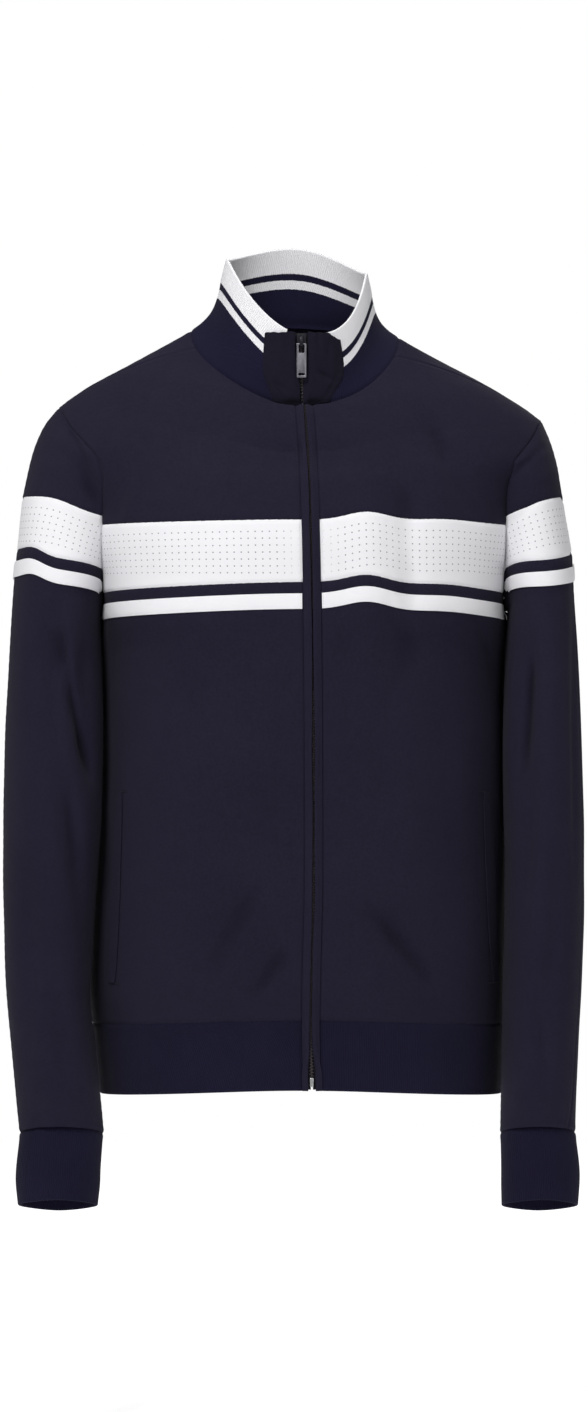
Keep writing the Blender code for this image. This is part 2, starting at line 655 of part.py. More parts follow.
def mesh_object(name, vertices, faces, surface_material, smooth_faces=True):
    mesh = bpy.data.meshes.new(name)
    mesh.from_pydata([tuple(float(value) * MM for value in vertex) for vertex in vertices], [], faces)
    work = bmesh.new()
    work.from_mesh(mesh)
    bmesh.ops.recalc_face_normals(work, faces=work.faces)
    if work.calc_volume(signed=True) < 0:
        bmesh.ops.reverse_faces(work, faces=work.faces)
    work.to_mesh(mesh)
    work.free()
    if smooth_faces:
        mesh.shade_smooth()
        mesh.set_sharp_from_angle(angle=math.radians(50))
    mesh.materials.append(surface_material)
    made = bpy.data.objects.new(name, mesh)
    COLLECTION.objects.link(made)
    made.parent = BODY
    return made


def cloth(name, surface, rows, columns, surface_material, thick=CLOTH, inside=(0, 0), **how):
    vertices, faces = wall(surface, rows, columns, thick, inside, **how)
    return mesh_object(name, vertices, faces, surface_material)


def sweep(path, section):
    """Vertices and faces of a solid with a section of (x, out) pairs at each (x, y, z, out_y, out_z)."""
    vertices = [
        (x + across, y + out_y * out, z + out_z * out)
        for (x, y, z, out_y, out_z), outline in zip(path, section)
        for across, out in outline
    ]
    corners = len(section[0])
    faces = [tuple(range(corners)), tuple(len(vertices) - 1 - k for k in range(corners))]
    for i in range(len(path) - 1):
        for k in range(corners):
            a, b = i * corners + k, i * corners + (k + 1) % corners
            faces.append((a, b, b + corners, a + corners))
    return vertices, faces


def box_object(name, size, centre, surface_material):
    bpy.ops.mesh.primitive_cube_add(size=1)
    made = bpy.context.object
    made.name = name
    for vertex in made.data.vertices:
        vertex.co = [vertex.co[k] * size[k] * MM for k in range(3)]
    made.location = [value * MM for value in centre]
    made.data.materials.append(surface_material)
    rounded = made.modifiers.new("rounded", "BEVEL")
    rounded.width, rounded.segments = EDGE_ROUND * MM, 2
    for other in list(made.users_collection):
        other.objects.unlink(made)
    COLLECTION.objects.link(made)
    made.parent = BODY
    return made


def united(target, other):
    """One solid from two: the union's mesh takes the target's place, and the other object goes."""
    union = target.modifiers.new("union", "BOOLEAN")
    union.operation, union.object = "UNION", other
    bpy.context.view_layer.update()
    graph = bpy.context.evaluated_depsgraph_get()
    target.data = bpy.data.meshes.new_from_object(target.evaluated_get(graph))
    target.modifiers.clear()
    bpy.data.objects.remove(other, do_unlink=True)


# ---------------------------------------------------------------- the pieces

# Levels of the rows of vertices, on the body below the underarm, beside the armhole and over the shoulder.
BODY_ROWS = (-629, -602, -572, -540, -505, -468, -430, -392, -355, -320, -288)
CHEST_ROWS = tuple(level for level in ARMHOLE_CORNERS[::-1] if level > UNDERARM)
YOKE_ROWS = (-54, -38, -22, -8, 5)
# A tape laid on a panel starts and ends at these parts of the panel's width, short of its edges.
TAPE_START, TAPE_REACH, SLEEVE_TAPE_REACH = 0.004, 0.93, 0.93
SLEEVE_ROWS = (-260, -290, -320, -350, -380, -412, -446, -482, -520, -560, -600, -636, -668, -698)


def make_fronts(navy, white):
    for side, name in SIDE_NAMES.items():
        surface = front_surface(side)
        columns = np.linspace(0, 1, 11)
        tape = (TAPE_FOOT, UNDERARM, TAPE_TOP)
        lower = BODY_ROWS + tape + tuple(level for level in CHEST_ROWS if level < BAND_FOOT) + (BAND_FOOT,)
        band = tuple(level for level in CHEST_ROWS if BAND_FOOT < level < BAND_TOP)
        upper = (BAND_TOP,) + tuple(level for level in CHEST_ROWS if level > BAND_TOP) + YOKE_ROWS
        laid = shortened(columns, TAPE_REACH)
        cloth(f"front_upper_{name}", surface, upper, columns, navy, mitre=SHOULDER_MITRE)
        cloth(f"front_band_{name}", surface, (BAND_FOOT,) + band + (BAND_TOP,), columns, white)
        cloth(f"front_lower_{name}", surface, lower, columns, navy)
        cloth(f"front_tape_{name}", surface, tape, laid, white, TAPE_CLOTH, raised=LAID_ON)


def shortened(columns, end):
    """A panel's columns for a tape laid on it, which stops just inside the panel's edges."""
    return np.concatenate([[TAPE_START], columns[(columns > 0) & (columns < end)], [end]])


def make_back(navy):
    rows = BODY_ROWS + (TAPE_FOOT, UNDERARM) + CHEST_ROWS + YOKE_ROWS
    cloth("back", back_surface, rows, np.linspace(0, 1, 21), navy, mitre=SHOULDER_MITRE)


def sleeve_level(meets, side):
    """The sleeve's level at the row that ends at this level of the armhole."""
    ends = column(SLEEVE[side], SLEEVE_COLUMNS, "meets")
    return float(smooth(ends, column(SLEEVE[side], SLEEVE_COLUMNS, "level"), meets))


def make_sleeves(navy, white):
    for side, name in SIDE_NAMES.items():
        inside = (side * 224, -25)
        ends = [level for level in ARMHOLE_CORNERS if level <= CROWN_END]
        levels = [sleeve_level(level, side) for level in ends]
        levels[0] = SHOULDER_POINT
        top, foot = SLEEVE_BAND
        cap = [level for level in levels if level > top + 2] + [top]
        band = [top] + [level for level in levels if foot + 2 < level < top - 2] + [foot]
        lower = [foot] + [level for level in levels if level < foot - 2] + list(SLEEVE_ROWS) + [SLEEVE_END]
        tape = [sleeve_level(level, side) for level in SLEEVE_TAPE_MEETS]
        columns = np.linspace(0, 1, 9)
        laid = shortened(columns, SLEEVE_TAPE_REACH)
        for face, front in (("front", True), ("back", False)):
            surface = sleeve_surface(side, front)
            piece = f"sleeve_{name}_{face}"
            cloth(f"{piece}_cap", surface, cap, columns, navy, inside=inside, mitre=CROWN_MITRE)
            cloth(f"{piece}_band", surface, band, columns, white, inside=inside)
            cloth(f"{piece}_lower", surface, lower, columns, navy, inside=inside)
            cloth(f"{piece}_tape", surface, tape, laid, white, TAPE_CLOTH, inside=inside, raised=LAID_ON)


def make_cuffs(rib):
    for side, name in SIDE_NAMES.items():
        rows, around = np.linspace(SLEEVE_END, CUFF_EDGE, 4), np.linspace(0, 1, 25)
        inside = (side * 220, -48)
        cloth(f"cuff_{name}", cuff_surface(side), rows, around, rib, RIB, inside=inside, closed=True)


def hem_surface(level, around):
    start = centre_angle(level, PLACKET + SEAM)
    end = 2 * math.pi + centre_angle(level, -PLACKET - SEAM)
    return torso(level, start + (end - start) * around)


def make_ribs_and_collar(navy, rib):
    cloth("hem_rib", hem_surface, (HEM_EDGE, -672, -650, HEM_SEAM), np.linspace(0, 1, 33), rib, RIB)
    cloth("collar_rib", collar_surface, (0, 0.12, 0.28, 0.5, 0.75, 1), np.linspace(0, 1, 29), rib, RIB)
    for side, name in SIDE_NAMES.items():
        rows, columns = np.linspace(0, 1, 7), np.linspace(0, 1, 7)
        cloth(f"collar_end_{name}", collar_end_surface(side), rows, columns, navy, raised=LAID_ON)


def zip_place(height):
    """The front's surface on the zip's line at this height: x, y, and the way out of it in y and z."""

    def depth(z):
        levels = np.linspace(HEM_EDGE - 6, NECK, 160)
        body = torso(levels, centre_angle(levels, 0))
        ups = np.linspace(0.02, 1.1, 12)
        stand = collar(ups, collar_angle(ups, zip_x(COLLAR_END_HEIGHT)))
        return np.interp(z, np.concatenate([body[2], stand[2]]), np.concatenate([body[1], stand[1]]))

    height = np.asarray(height, float)
    slope = (depth(height + 4) - depth(height - 4)) / 8
    length = np.sqrt(1 + slope**2)
    return zip_x(height), depth(height), -1 / length, slope / length


def placket_surface(side):
    def point(height, across):
        x, y, out_y, out_z = zip_place(height)
        slit = SLIT + (SLIT_AT_FOOT - SLIT) * (1 - ease(height, *SLIT_OPENS))
        rise = PLACKET_RISE * ease(1 - across, 0, 0.8)
        offset = slit + (PLACKET - SEAM - slit) * across
        return np.stack([x + side * offset, y + out_y * rise, height + out_z * rise])

    return point


def zip_rows():
    """Heights down the zip: below the neckline, where the plackets are, and above it."""
    top = float(torso(np.asarray(NECK), centre_angle(NECK, 0))[2])
    foot = float(torso(np.asarray(HEM_EDGE), centre_angle(HEM_EDGE, 0))[2])
    return np.linspace(foot, top, 26), np.linspace(top, COLLAR_END_TOP - 1, 6)[1:]


def make_plackets(navy):
    rows = zip_rows()[0]
    rows[-1] -= PLACKET_SHORT
    for side, name in SIDE_NAMES.items():
        cloth(f"placket_{name}", placket_surface(side), rows, np.linspace(0, 1, 4), navy, mitre=SEAM)


def make_zip(tape_material, slider_metal, pull_metal, light_metal):
    face = -TAPE_DEPTH
    below, above = zip_rows()
    lowest = [below[0] + 0.5, CHAIN_FOOT - 0.5, CHAIN_FOOT]
    rows = np.concatenate([lowest, below[below > CHAIN_FOOT + 2], above])
    path = list(zip(*placed_path(rows)))
    section = []
    for height in rows:
        top = face + (CHAIN_HEIGHT if height >= CHAIN_FOOT else 0.05)
        section.append(
            (
                (-TAPE_HALF, face - TAPE_THICK),
                (TAPE_HALF, face - TAPE_THICK),
                (TAPE_HALF, face),
                (CHAIN_HALF, face),
                (CHAIN_HALF - 0.3, top),
                (0.3 - CHAIN_HALF, top),
                (-CHAIN_HALF, face),
                (-TAPE_HALF, face),
            )
        )
    vertices, faces = sweep(path, section)
    mesh_object("zip_tape", vertices, faces, tape_material, smooth_faces=False)

    height = CHAIN_FOOT - METAL_GAP - BOX_HEIGHT / 2
    x, y, out_y, _ = (float(value) for value in zip_place(height))
    out = face + METAL_GAP + BOX_THICK / 2
    centre = (x, y + out_y * out, height)
    box_object("zip_box", (BOX_WIDTH, BOX_THICK, BOX_HEIGHT), centre, light_metal)
    make_pull(make_slider(slider_metal), pull_metal)


def placed_path(rows):
    x, y, out_y, out_z = zip_place(rows)
    return x, y, rows, out_y, out_z


def make_slider(metal):
    """A plate over the chain with a flange down each side, and a bridge through the pull's window.

    Returns the place of the pull's axis.
    """
    half, under = SLIDER_WIDTH / 2, CHAIN_HEIGHT - TAPE_DEPTH + METAL_GAP
    front, back = under + SLIDER_PLATE, METAL_GAP - TAPE_DEPTH
    inner = half - SLIDER_FLANGE
    outline = ((-half, back), (-half, front), (half, front), (half, back))
    outline += ((inner, back), (inner, under), (-inner, under), (-inner, back))
    rows = np.array([-SLIDER_HEIGHT / 2, SLIDER_HEIGHT / 2]) + SLIDER_MIDDLE
    vertices, faces = sweep(list(zip(*placed_path(rows))), [outline] * 2)
    slider = mesh_object("zip_slider", vertices, faces, metal, smooth_faces=False)

    x, y, out_y, _ = (float(value) for value in zip_place(SLIDER_MIDDLE))
    plate_y = y + out_y * front
    foot, top = BRIDGE_MIDDLE - BRIDGE_HALF, BRIDGE_MIDDLE + BRIDGE_HALF
    arch = [(x, plate_y + BRIDGE_ROOT, foot)]
    for turn in np.linspace(-math.pi / 2, math.pi / 2, 9):
        out = BRIDGE_RISE * math.cos(turn) ** BRIDGE_FLAT
        arch.append((x, plate_y - out, BRIDGE_MIDDLE + BRIDGE_HALF * math.sin(turn)))
    arch.append((x, plate_y + BRIDGE_ROOT, top))
    bridge = rod("bridge", arch, BRIDGE_RADIUS, metal)
    for vertex in bridge.data.vertices:
        vertex.co.x = x * MM + (vertex.co.x - x * MM) * BRIDGE_WIDEN
    united(slider, bridge)
    return x, plate_y - PULL_AXIS_OUT, PULL_AXIS_HEIGHT


def rod(name, points, radius, surface_material):
    """A round rod through these points, as a closed mesh."""
    curve = bpy.data.curves.new(name, "CURVE")
    curve.dimensions, curve.bevel_depth, curve.bevel_resolution = "3D", radius * MM, 2
    curve.use_fill_caps = True
    spline = curve.splines.new("POLY")
    spline.points.add(len(points) - 1)
    for target, place in zip(spline.points, points):
        target.co = (*(value * MM for value in place), 1)
    guide = bpy.data.objects.new(name, curve)
    COLLECTION.objects.link(guide)
    bpy.context.view_layer.update()
    mesh = bpy.data.meshes.new_from_object(guide.evaluated_get(bpy.context.evaluated_depsgraph_get()))
    work = bmesh.new()
    work.from_mesh(mesh)
    bmesh.ops.remove_doubles(work, verts=work.verts, dist=0.001 * MM)
    bmesh.ops.recalc_face_normals(work, faces=work.faces)
    work.to_mesh(mesh)
    work.free()
    mesh.materials.append(surface_material)
    made = bpy.data.objects.new(name + "_solid", mesh)
    COLLECTION.objects.link(made)
    bpy.data.objects.remove(guide, do_unlink=True)
    return made


def make_pull(axis, metal):
    """A flat tab that hangs from the top bar of its window, with a slot near its foot."""
    half, bar = PULL_WIDTH / 2, EYE_BAR / 2
    foot, inside = bar - PULL_LENGTH, PULL_WIDTH / 2 - PRONG
    outer = [
        (half - PULL_CORNER, bar),
        (half, bar - PULL_CORNER),
        (half, foot + PULL_CORNER),
        (half - PULL_CORNER, foot),
    ]
    outer += [(-x, z) for x, z in reversed(outer)]
    hole = [(-inside, -bar), (inside, -bar), (inside, -WINDOW_LENGTH), (-inside, -WINDOW_LENGTH)]
    slot_foot, slot = foot + PULL_SLOT_UP, PULL_SLOT_WIDTH / 2
    slot_top = slot_foot + PULL_SLOT_HEIGHT
    lower_hole = [(-slot, slot_top), (slot, slot_top), (slot, slot_foot), (-slot, slot_foot)]

    curve = bpy.data.curves.new("zip_pull", "CURVE")
    curve.dimensions, curve.fill_mode, curve.extrude = "2D", "BOTH", PULL_THICK / 2 * MM
    for outline in (outer, hole, lower_hole):
        spline = curve.splines.new("POLY")
        spline.points.add(len(outline) - 1)
        for target, (across, up) in zip(spline.points, outline):
            target.co = (across * MM, up * MM, 0, 1)
        spline.use_cyclic_u = True
    curve.materials.append(metal)
    pivot = bpy.data.objects.new("pull_axis", None)
    pivot.location = [value * MM for value in axis]
    COLLECTION.objects.link(pivot)
    pull = bpy.data.objects.new("zip_pull", curve)
    pull.rotation_euler = (math.pi / 2, 0, 0)
    COLLECTION.objects.link(pull)
    pull.parent = pivot


def welt_surface(side):
    top_x, foot_x = WELT_LINE[side]

    def point(level, across):
        down = (WELT_TOP - level) / (WELT_TOP - WELT_FOOT)
        narrow = WELT_END + (1 - WELT_END) * np.sin(np.pi * np.clip(down, 0, 1)) ** 0.35
        x = top_x + (foot_x - top_x) * down + WELT_WIDTH * narrow * (across - 0.5)
        return torso(level, torso_angle(level, x))

    return point


def make_welts(navy):
    for side, name in SIDE_NAMES.items():
        rows, columns = np.linspace(WELT_FOOT, WELT_TOP, 11), np.linspace(0, 1, 3)
        cloth(f"pocket_welt_{name}", welt_surface(side), rows, columns, navy, WELT_THICK, raised=2 * LAID_ON)


clear_scene()
COLLECTION = bpy.data.collections.new("track_jacket")
bpy.context.scene.collection.children.link(COLLECTION)
BODY = bpy.data.objects.new("jacket", None)
COLLECTION.objects.link(BODY)
NAVY = material("navy_knit", (0.014, 0.013, 0.028), 0.85)
RIB_NAVY = material("navy_rib", (0.011, 0.011, 0.030), 0.9)
WHITE = material("white_knit", (0.82, 0.82, 0.85), 0.8)
TAPE_NAVY = material("zip_tape_navy", (0.012, 0.012, 0.022), 0.7)
DARK_METAL = material("dark_metal", (0.02, 0.02, 0.03), 0.45)
GUNMETAL = material("gunmetal", (0.20, 0.20, 0.22), 0.4, 1.0)
SILVER = material("silver_metal", (0.55, 0.55, 0.56), 0.35, 1.0)

make_back(NAVY)
make_fronts(NAVY, WHITE)
make_sleeves(NAVY, WHITE)
make_cuffs(RIB_NAVY)
make_ribs_and_collar(NAVY, RIB_NAVY)
make_plackets(NAVY)
make_welts(NAVY)
make_zip(TAPE_NAVY, DARK_METAL, GUNMETAL, SILVER)
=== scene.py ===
"""The track jacket's looks: thin cloth shells, stitching and the zip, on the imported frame.

The front faces -Y, the wearer's left is +X, and Z is up. Lengths are in millimetres; MM turns them into metres
where a mesh or a place is made. The tables and surfaces down to the heading "cloth" repeat the solids' own, but
for the armholes, which are smooth curves here, and the collar ends, whose outer and top edges are finer here.
"""

import math

import bmesh
import bpy
import numpy as np
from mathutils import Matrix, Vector


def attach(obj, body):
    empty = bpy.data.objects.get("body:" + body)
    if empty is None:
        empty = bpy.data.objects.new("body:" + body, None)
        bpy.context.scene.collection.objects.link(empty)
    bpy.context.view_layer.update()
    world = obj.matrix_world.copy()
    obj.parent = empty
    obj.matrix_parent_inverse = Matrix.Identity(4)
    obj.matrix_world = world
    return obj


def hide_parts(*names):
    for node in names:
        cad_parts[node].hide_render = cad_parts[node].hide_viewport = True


MM = 0.001
CLOTH = 1.3  # thickness of the solids' knit shell
SEAM = 0.17  # each solid stops this far short of its seam line, so two of them are 0.3 apart
LAID_ON = 0.3  # gap between a panel and what is laid on it
STEP = 0.01  # part of a panel over which a slope is measured

RIGHT, LEFT = -1, 1  # the wearer's sides, as signs of x
SIDE_NAMES = {RIGHT: "right", LEFT: "left"}

HEM_EDGE, HEM_SEAM = -694.0, -629.0  # levels at the side seam
UNDERARM, SHOULDER_POINT, NECK = -250.0, -68.5, 5.0
BAND_TOP, BAND_FOOT, TAPE_TOP, TAPE_FOOT = -173.0, -234.0, -244.5, -258.0

# Rings of the body from the hem to the neck. The level is the ring's height at the side seam.
TORSO_COLUMNS = ("level", "centre_x", "centre_y", "half_width", "front", "back", "front_rise", "back_rise", "square")
TORSO = (
    (-694, 0.5, 30, 186, 140, 80, 13, 0, 2.3),
    (-660, -0.5, 30, 188.5, 140, 80, 13, 0, 2.3),
    (-629, -1.8, 30, 190.4, 142, 82, 11, 0, 2.35),
    (-600, -2.6, 30, 191.6, 147, 85, 8, 0, 2.4),
    (-540, -1, 30, 191, 149, 83, 4, 0, 2.45),
    (-450, 2, 30, 188, 150, 78, 2, 0, 2.5),
    (-360, 3, 32, 187, 154, 75, 3, 0, 2.4),
    (-290, 3, 24, 185.6, 146.5, 84, 6, 0, 2.3),
    (-250, 3, 0, 183, 123, 112, 8, 0, 2.5),
    (-190, 2.5, 0, 191, 120, 119, 5, 2, 2.5),
    (-130, 1, 0, 207, 109, 123, -7, 8, 2.4),
    (-98, 0, 1, 234, 100, 119, -24, 12, 2.1),
    (-80, 0, 1, 231, 94, 115, -34, 14, 1.93),
    (-68.5, 0, 2, 222, 90, 111, -39, 15, 1.85),
    (-43, -1, 3, 184, 82, 102, -44, 14, 1.85),
    (-17.5, -3, 4, 137, 75, 88, -53, 13, 1.95),
    (5, -4.5, 5, 96, 67, 70, -69, 13, 2.1),
)

# The armhole seam. Its lower part is given by how far it lies in front of the underarm or behind it, and
# its upper part by its distance from the middle plane.
ARMHOLE_COLUMNS = ("level", "right_front", "left_front", "right_back", "left_back")
LOWER_ARMHOLE = (
    (-250, 0, 0, 0, 0),
    (-239, 15, 14, 13, 13),
    (-224.5, 28, 25.5, 24, 23),
    (-213, 36.5, 33, 32, 30),
    (-189, 48.5, 44, 44, 40),
    (-165, 57, 51, 54, 48),
    (-144, 62, 55, 61, 54),
)
UPPER_ARMHOLE_FOOT = -130.0
UPPER_ARMHOLE = (
    (-140, 179, 190, 186, 191),
    (-118, 180, 191, 190, 194),
    (-100, 193, 201, 199, 203),
    (-86, 207, 211, 209, 212),
    (-74, 217, 218, 217.5, 218),
    (-68.5, 222, 222, 222, 222),
)
# The two edges that meet at the armhole share their corners at these levels.
ARMHOLE_CORNERS = (-68.5, -69.2, -71, -74, -80, -88, -98, -110, -125, -144, -165, -189, -213, -224.5, -239, -250)
CROWN_END = -74.0  # from the shoulder point to here the armhole is the top edge of the sleeve

# The shoulder seam lies forward of the ridge by this much.
SHOULDER_SEAM_COLUMNS = ("level", "forward")
SHOULDER_SEAM = ((-68.5, 0), (-50, 6), (-25, 16), (5, 24))

# Rings of each sleeve. The level is the height of the ring at the sleeve's outer side, and meets is the
# level on the armhole or, below the underarm, on the underarm seam where the ring ends.
SLEEVE_COLUMNS = ("level", "outer", "middle", "depth", "centre_y", "meets")
SLEEVE = {
    RIGHT: (
        (-68.5, 222, 221, 4, 1, -74),
        (-80, 232, 214, 30, 1, -88),
        (-92, 239, 204, 48, 1, -102),
        (-108, 245.5, 190, 61, 1, -119),
        (-128, 250.5, 190, 66, 0, -142),
        (-148, 254.5, 200, 66, -1, -165),
        (-196, 259, 217, 65, -4, -213),
        (-232, 262.8, 222.5, 65, -8, -250),
        (-280, 265.2, 223.4, 65, -19, -290),
        (-360, 268, 223.8, 64, -33, -364),
        (-450, 270, 226, 62, -37, -450),
        (-520, 269.5, 228.2, 59, -39, -520),
        (-590, 267, 228.8, 55, -40, -590),
        (-648, 262, 224, 50, -42, -648),
        (-700, 257.5, 219.2, 43, -45, -700),
        (-724, 255, 217, 34, -46, -724),
    ),
    LEFT: (
        (-68.5, 222, 221, 4, 1, -74),
        (-80, 227, 214, 30, 1, -88),
        (-92, 231, 206, 48, 1, -102),
        (-108, 235, 201, 61, 1, -119),
        (-128, 238.5, 201, 66, 0, -142),
        (-148, 241.5, 206, 65, -1, -165),
        (-196, 249.5, 217.5, 65, -4, -213),
        (-232, 251, 220.8, 65, -8, -250),
        (-280, 253.5, 220.5, 65, -17, -290),
        (-360, 256.5, 221, 64, -32, -364),
        (-450, 258.3, 222.2, 63, -37, -450),
        (-520, 258.3, 222.4, 60, -39, -520),
        (-590, 256.5, 220.8, 56, -40, -590),
        (-648, 253, 218.5, 51, -42, -648),
        (-700, 250.5, 216.5, 44, -45, -700),
        (-724, 249.5, 215.8, 34, -46, -724),
    ),
}
SLEEVE_SQUARE = 2.2
SLEEVE_BAND = (-148.0, -196.0)  # levels of the inset band
SLEEVE_TAPE_MEETS = (-224.5, -239.0)  # the tape laid on the lower sleeve meets the armhole between these
PULLED_TO_ARMHOLE, DROPPED_TO_ARMHOLE = 2.5, 1.6  # how late in its run a row is brought to the armhole
CROWN_BLEND = 14.0  # the height over which the sleeve's top takes up the crown's line
OUTER_SEAM = {RIGHT: 15.0, LEFT: 42.0}  # degrees forward of the sleeve's outermost line
OUTER_SEAM_RUNS_IN = -150.0  # below this level the seam keeps that angle
SLEEVE_END, CUFF_EDGE = -724.0, -790.0
CUFF_TILT, CUFF_TILT_FROM = 8.0, -600.0  # the sleeve's foot and the cuff are higher in front

CUFF_COLUMNS = ("level", "outer", "middle", "depth", "centre_y")
CUFF = {
    RIGHT: ((-724, 254.5, 217, 30, -46), (-765, 258.5, 220, 29, -49), (-790, 256, 219.8, 28, -51)),
    LEFT: ((-724, 249.5, 215.8, 30, -46), (-765, 254, 218.2, 29, -49), (-790, 252.5, 217.8, 28, -51)),
}

# The zip's line across the front, from the neck to the hem.
ZIP_COLUMNS = ("height", "x")
ZIP_LINE = ((-700, 11), (-620, 9.5), (-480, 12), (-300, 11.3), (-180, 9.5), (-110, 7), (-60, 3.5), (-30, 1.5),
            (10, 1.2))
PLACKET = 8.0  # width of each placket
SLIT = 0.9  # half the slit between the plackets, over the chain
SLIT_AT_FOOT, SLIT_OPENS = 3.2, (-668.0, -640.0)
PLACKET_RISE, PLACKET_SHORT = 1.9, 1.2  # it stands off the chain, and stops short of the collar's seam
CHAIN_HEIGHT = 1.5
CHAIN_FOOT = -669.0  # where the chain ends, above the retaining box
TAPE_DEPTH = CLOTH + 0.35  # the tape's outer face lies this far behind the front's outer face

# The collar from its seam to its edge: how far round it lies from its own middle.
COLLAR_COLUMNS = ("up", "half_width", "front", "back")
COLLAR = (
    (0, 96, 67, 70),
    (0.12, 86, 67, 68),
    (0.25, 78.5, 67.5, 66.5),
    (0.5, 72, 68.5, 64),
    (0.75, 69, 70, 61),
    (1, 65, 71.5, 58),
)
COLLAR_SQUARE = 2.1
COLLAR_CENTRE_X, COLLAR_CENTRE_Y, COLLAR_SHIFT = -4.5, 5.0, 1.5
COLLAR_FRONT_TOP, COLLAR_BACK_TOP = 1.0, 90.0
COLLAR_SIDE_TOP = {RIGHT: 71.0, LEFT: 66.0}
COLLAR_SWEEP = {RIGHT: 1.6, LEFT: 3.6}  # how late the front of the collar's edge climbs to its side
COLLAR_LEAN = 0.06  # the collar stands higher on the wearer's right
COLLAR_END_TOP, COLLAR_END_SLOPE = 1.5, {RIGHT: 0.0, LEFT: 5.0}  # its top, and how far its outer corner droops
COLLAR_END_REACH = {RIGHT: 33.0, LEFT: 35.0}  # from the zip to the outer edge of the collar's end
COLLAR_END_BULGE = {RIGHT: 1.6, LEFT: 3.4}  # its outer edge swells at mid height
COLLAR_END_TUCK = {RIGHT: 6.5, LEFT: 9.0}  # and tucks in at its foot
COLLAR_END_WAVER = 0.5  # how uneven its top edge is
COLLAR_END_FOOT_GAP, COLLAR_END_OPENS = 1.4, 4.2  # from the zip's line to its inner edge
COLLAR_END_HEIGHT = -20.0  # the height on the zip's line from which its ends are measured
RIB_FROM_ZIP = 13.0

# Soft folds: x0, z0, x1, z1, half-width and depth. Each runs from the first place to the second as seen from
# the front, and a ridge has a negative depth.
TORSO_FRONT_FOLDS = (
    (62, -110, 64, -330, 20, -4.0), (92, -120, 95, -300, 15, 3.5), (-40, -500, -94, -590, 13, 3.0),
    (-14, -555, -42, -600, 10, 2.5), (64, -515, 136, -600, 15, 4.0), (-158, -110, -172, -175, 9, 2.5),
    (-124, -105, -145, -170, 11, 2.0), (120, -75, 162, -170, 13, 2.5),
)
TORSO_BACK_FOLDS = (
    (-60, -150, -75, -420, 20, 3.5), (70, -170, 60, -400, 22, 3.5), (-120, -470, -60, -590, 16, 3.5),
    (110, -450, 70, -600, 15, 3.0), (-150, -120, -165, -210, 12, 2.5), (150, -120, 165, -215, 12, 2.5),
)
SLEEVE_FRONT_FOLDS = {
    RIGHT: (
        (-227, -255, -216, -330, 11, 6.0), (-216, -320, -190, -405, 11, 5.5), (-238, -270, -224, -400, 10, 3.0),
        (-220, -400, -198, -490, 12, 4.0), (-212, -86, -188, -150, 10, 3.0), (-243, -520, -217, -650, 14, 2.5),
    ),
    LEFT: (
        (216, -95, 197, -150, 10, 3.0), (212, -290, 200, -420, 12, 3.5), (222, -550, 212, -680, 14, 2.5),
    ),
}
SLEEVE_BACK_FOLDS = {
    RIGHT: (
        (-238, -330, -205, -400, 13, 4.0), (-244, -410, -210, -470, 13, 3.5), (-222, -560, -240, -690, 14, 2.5),
    ),
    LEFT: (
        (234, -320, 205, -395, 13, 4.0), (240, -400, 208, -465, 13, 3.5), (214, -570, 232, -690, 14, 2.5),
    ),
}

SHOULDER_TILT = 0.028  # the wearer's right shoulder stands higher
TILT_FROM, TILT_TO = -165.0, -60.0
# How a ring's rise at the middle of the front or back falls away towards the sides, on the body and at the neck.
RISE_ROUND, NECK_ROUND, NECK_ROUND_FROM = 1.4, 1.0, -60.0
NECK_DROP, NECK_DROP_AT, NECK_DROP_WIDTH = 7.0, 0.85, 0.45  # the neckline is lower on the left front

# Pocket welts, on the front near the side seam.
WELT_TOP, WELT_FOOT, WELT_WIDTH = -416.0, -590.0, 9.0
WELT_LINE = {RIGHT: (-163.0, -170.0), LEFT: (168.0, 177.0)}  # x at its top and its foot
WELT_END, WELT_ROUND = 0.35, 0.35  # share of its width that it keeps at each end, and how full it is between

# Zip hardware.
SLIDER_HEIGHT, SLIDER_WIDTH, SLIDER_MIDDLE = 12.5, 8.4, -6.2
SLIDER_PLATE = 1.2  # its thickness
BRIDGE_RADIUS, BRIDGE_RISE, BRIDGE_HALF, BRIDGE_MIDDLE = 0.65, 3.4, 4.6, -7.2
BRIDGE_WIDEN = 2.6  # the bridge is a strap, this much wider than it is thick
BRIDGE_ROOT, BRIDGE_FLAT = 0.6, 0.6  # how far its feet run into the plate, and how flat its arch is
PULL_LENGTH, PULL_WIDTH, PULL_THICK = 31.0, 8.8, 1.4
PRONG, WINDOW_LENGTH, EYE_BAR = 1.8, 8.0, 1.2  # the sides, length and top bar of the window round the bridge
PULL_AXIS_HEIGHT, PULL_AXIS_OUT = -9.5, 1.2  # its top bar's height, and how far it lies in front of the plate
PULL_SLOT_WIDTH, PULL_SLOT_HEIGHT, PULL_SLOT_UP = 5.6, 2.4, 1.9
BOX_WIDTH, BOX_HEIGHT, BOX_THICK = 5.2, 9.0, 2.4
METAL_GAP = 0.3

# Where the cloth is drawn up, and with it the lines of the bands: x, width, the most that it rises, then the
# levels below which it is still, from and to which it rises most, and above which it is still.
CHEST_LIFTS = ((60, 26, 7.5, -420, -260, -180, -90), (130, 36, 2.5, -330, -240, -180, -110))
SLEEVE_LIFTS = {
    RIGHT: ((-220, 26, 8, -190, -160, -148, -100), (-243, 15, 8, -260, -215, -180, -140)),
    LEFT: ((219, 26, 4, -190, -160, -148, -100), (226, 32, -4.5, -260, -225, -195, -160)),
}


# ---------------------------------------------------------------- curves and tables


def column(table, columns, name):
    return np.array([row[columns.index(name)] for row in table], float)


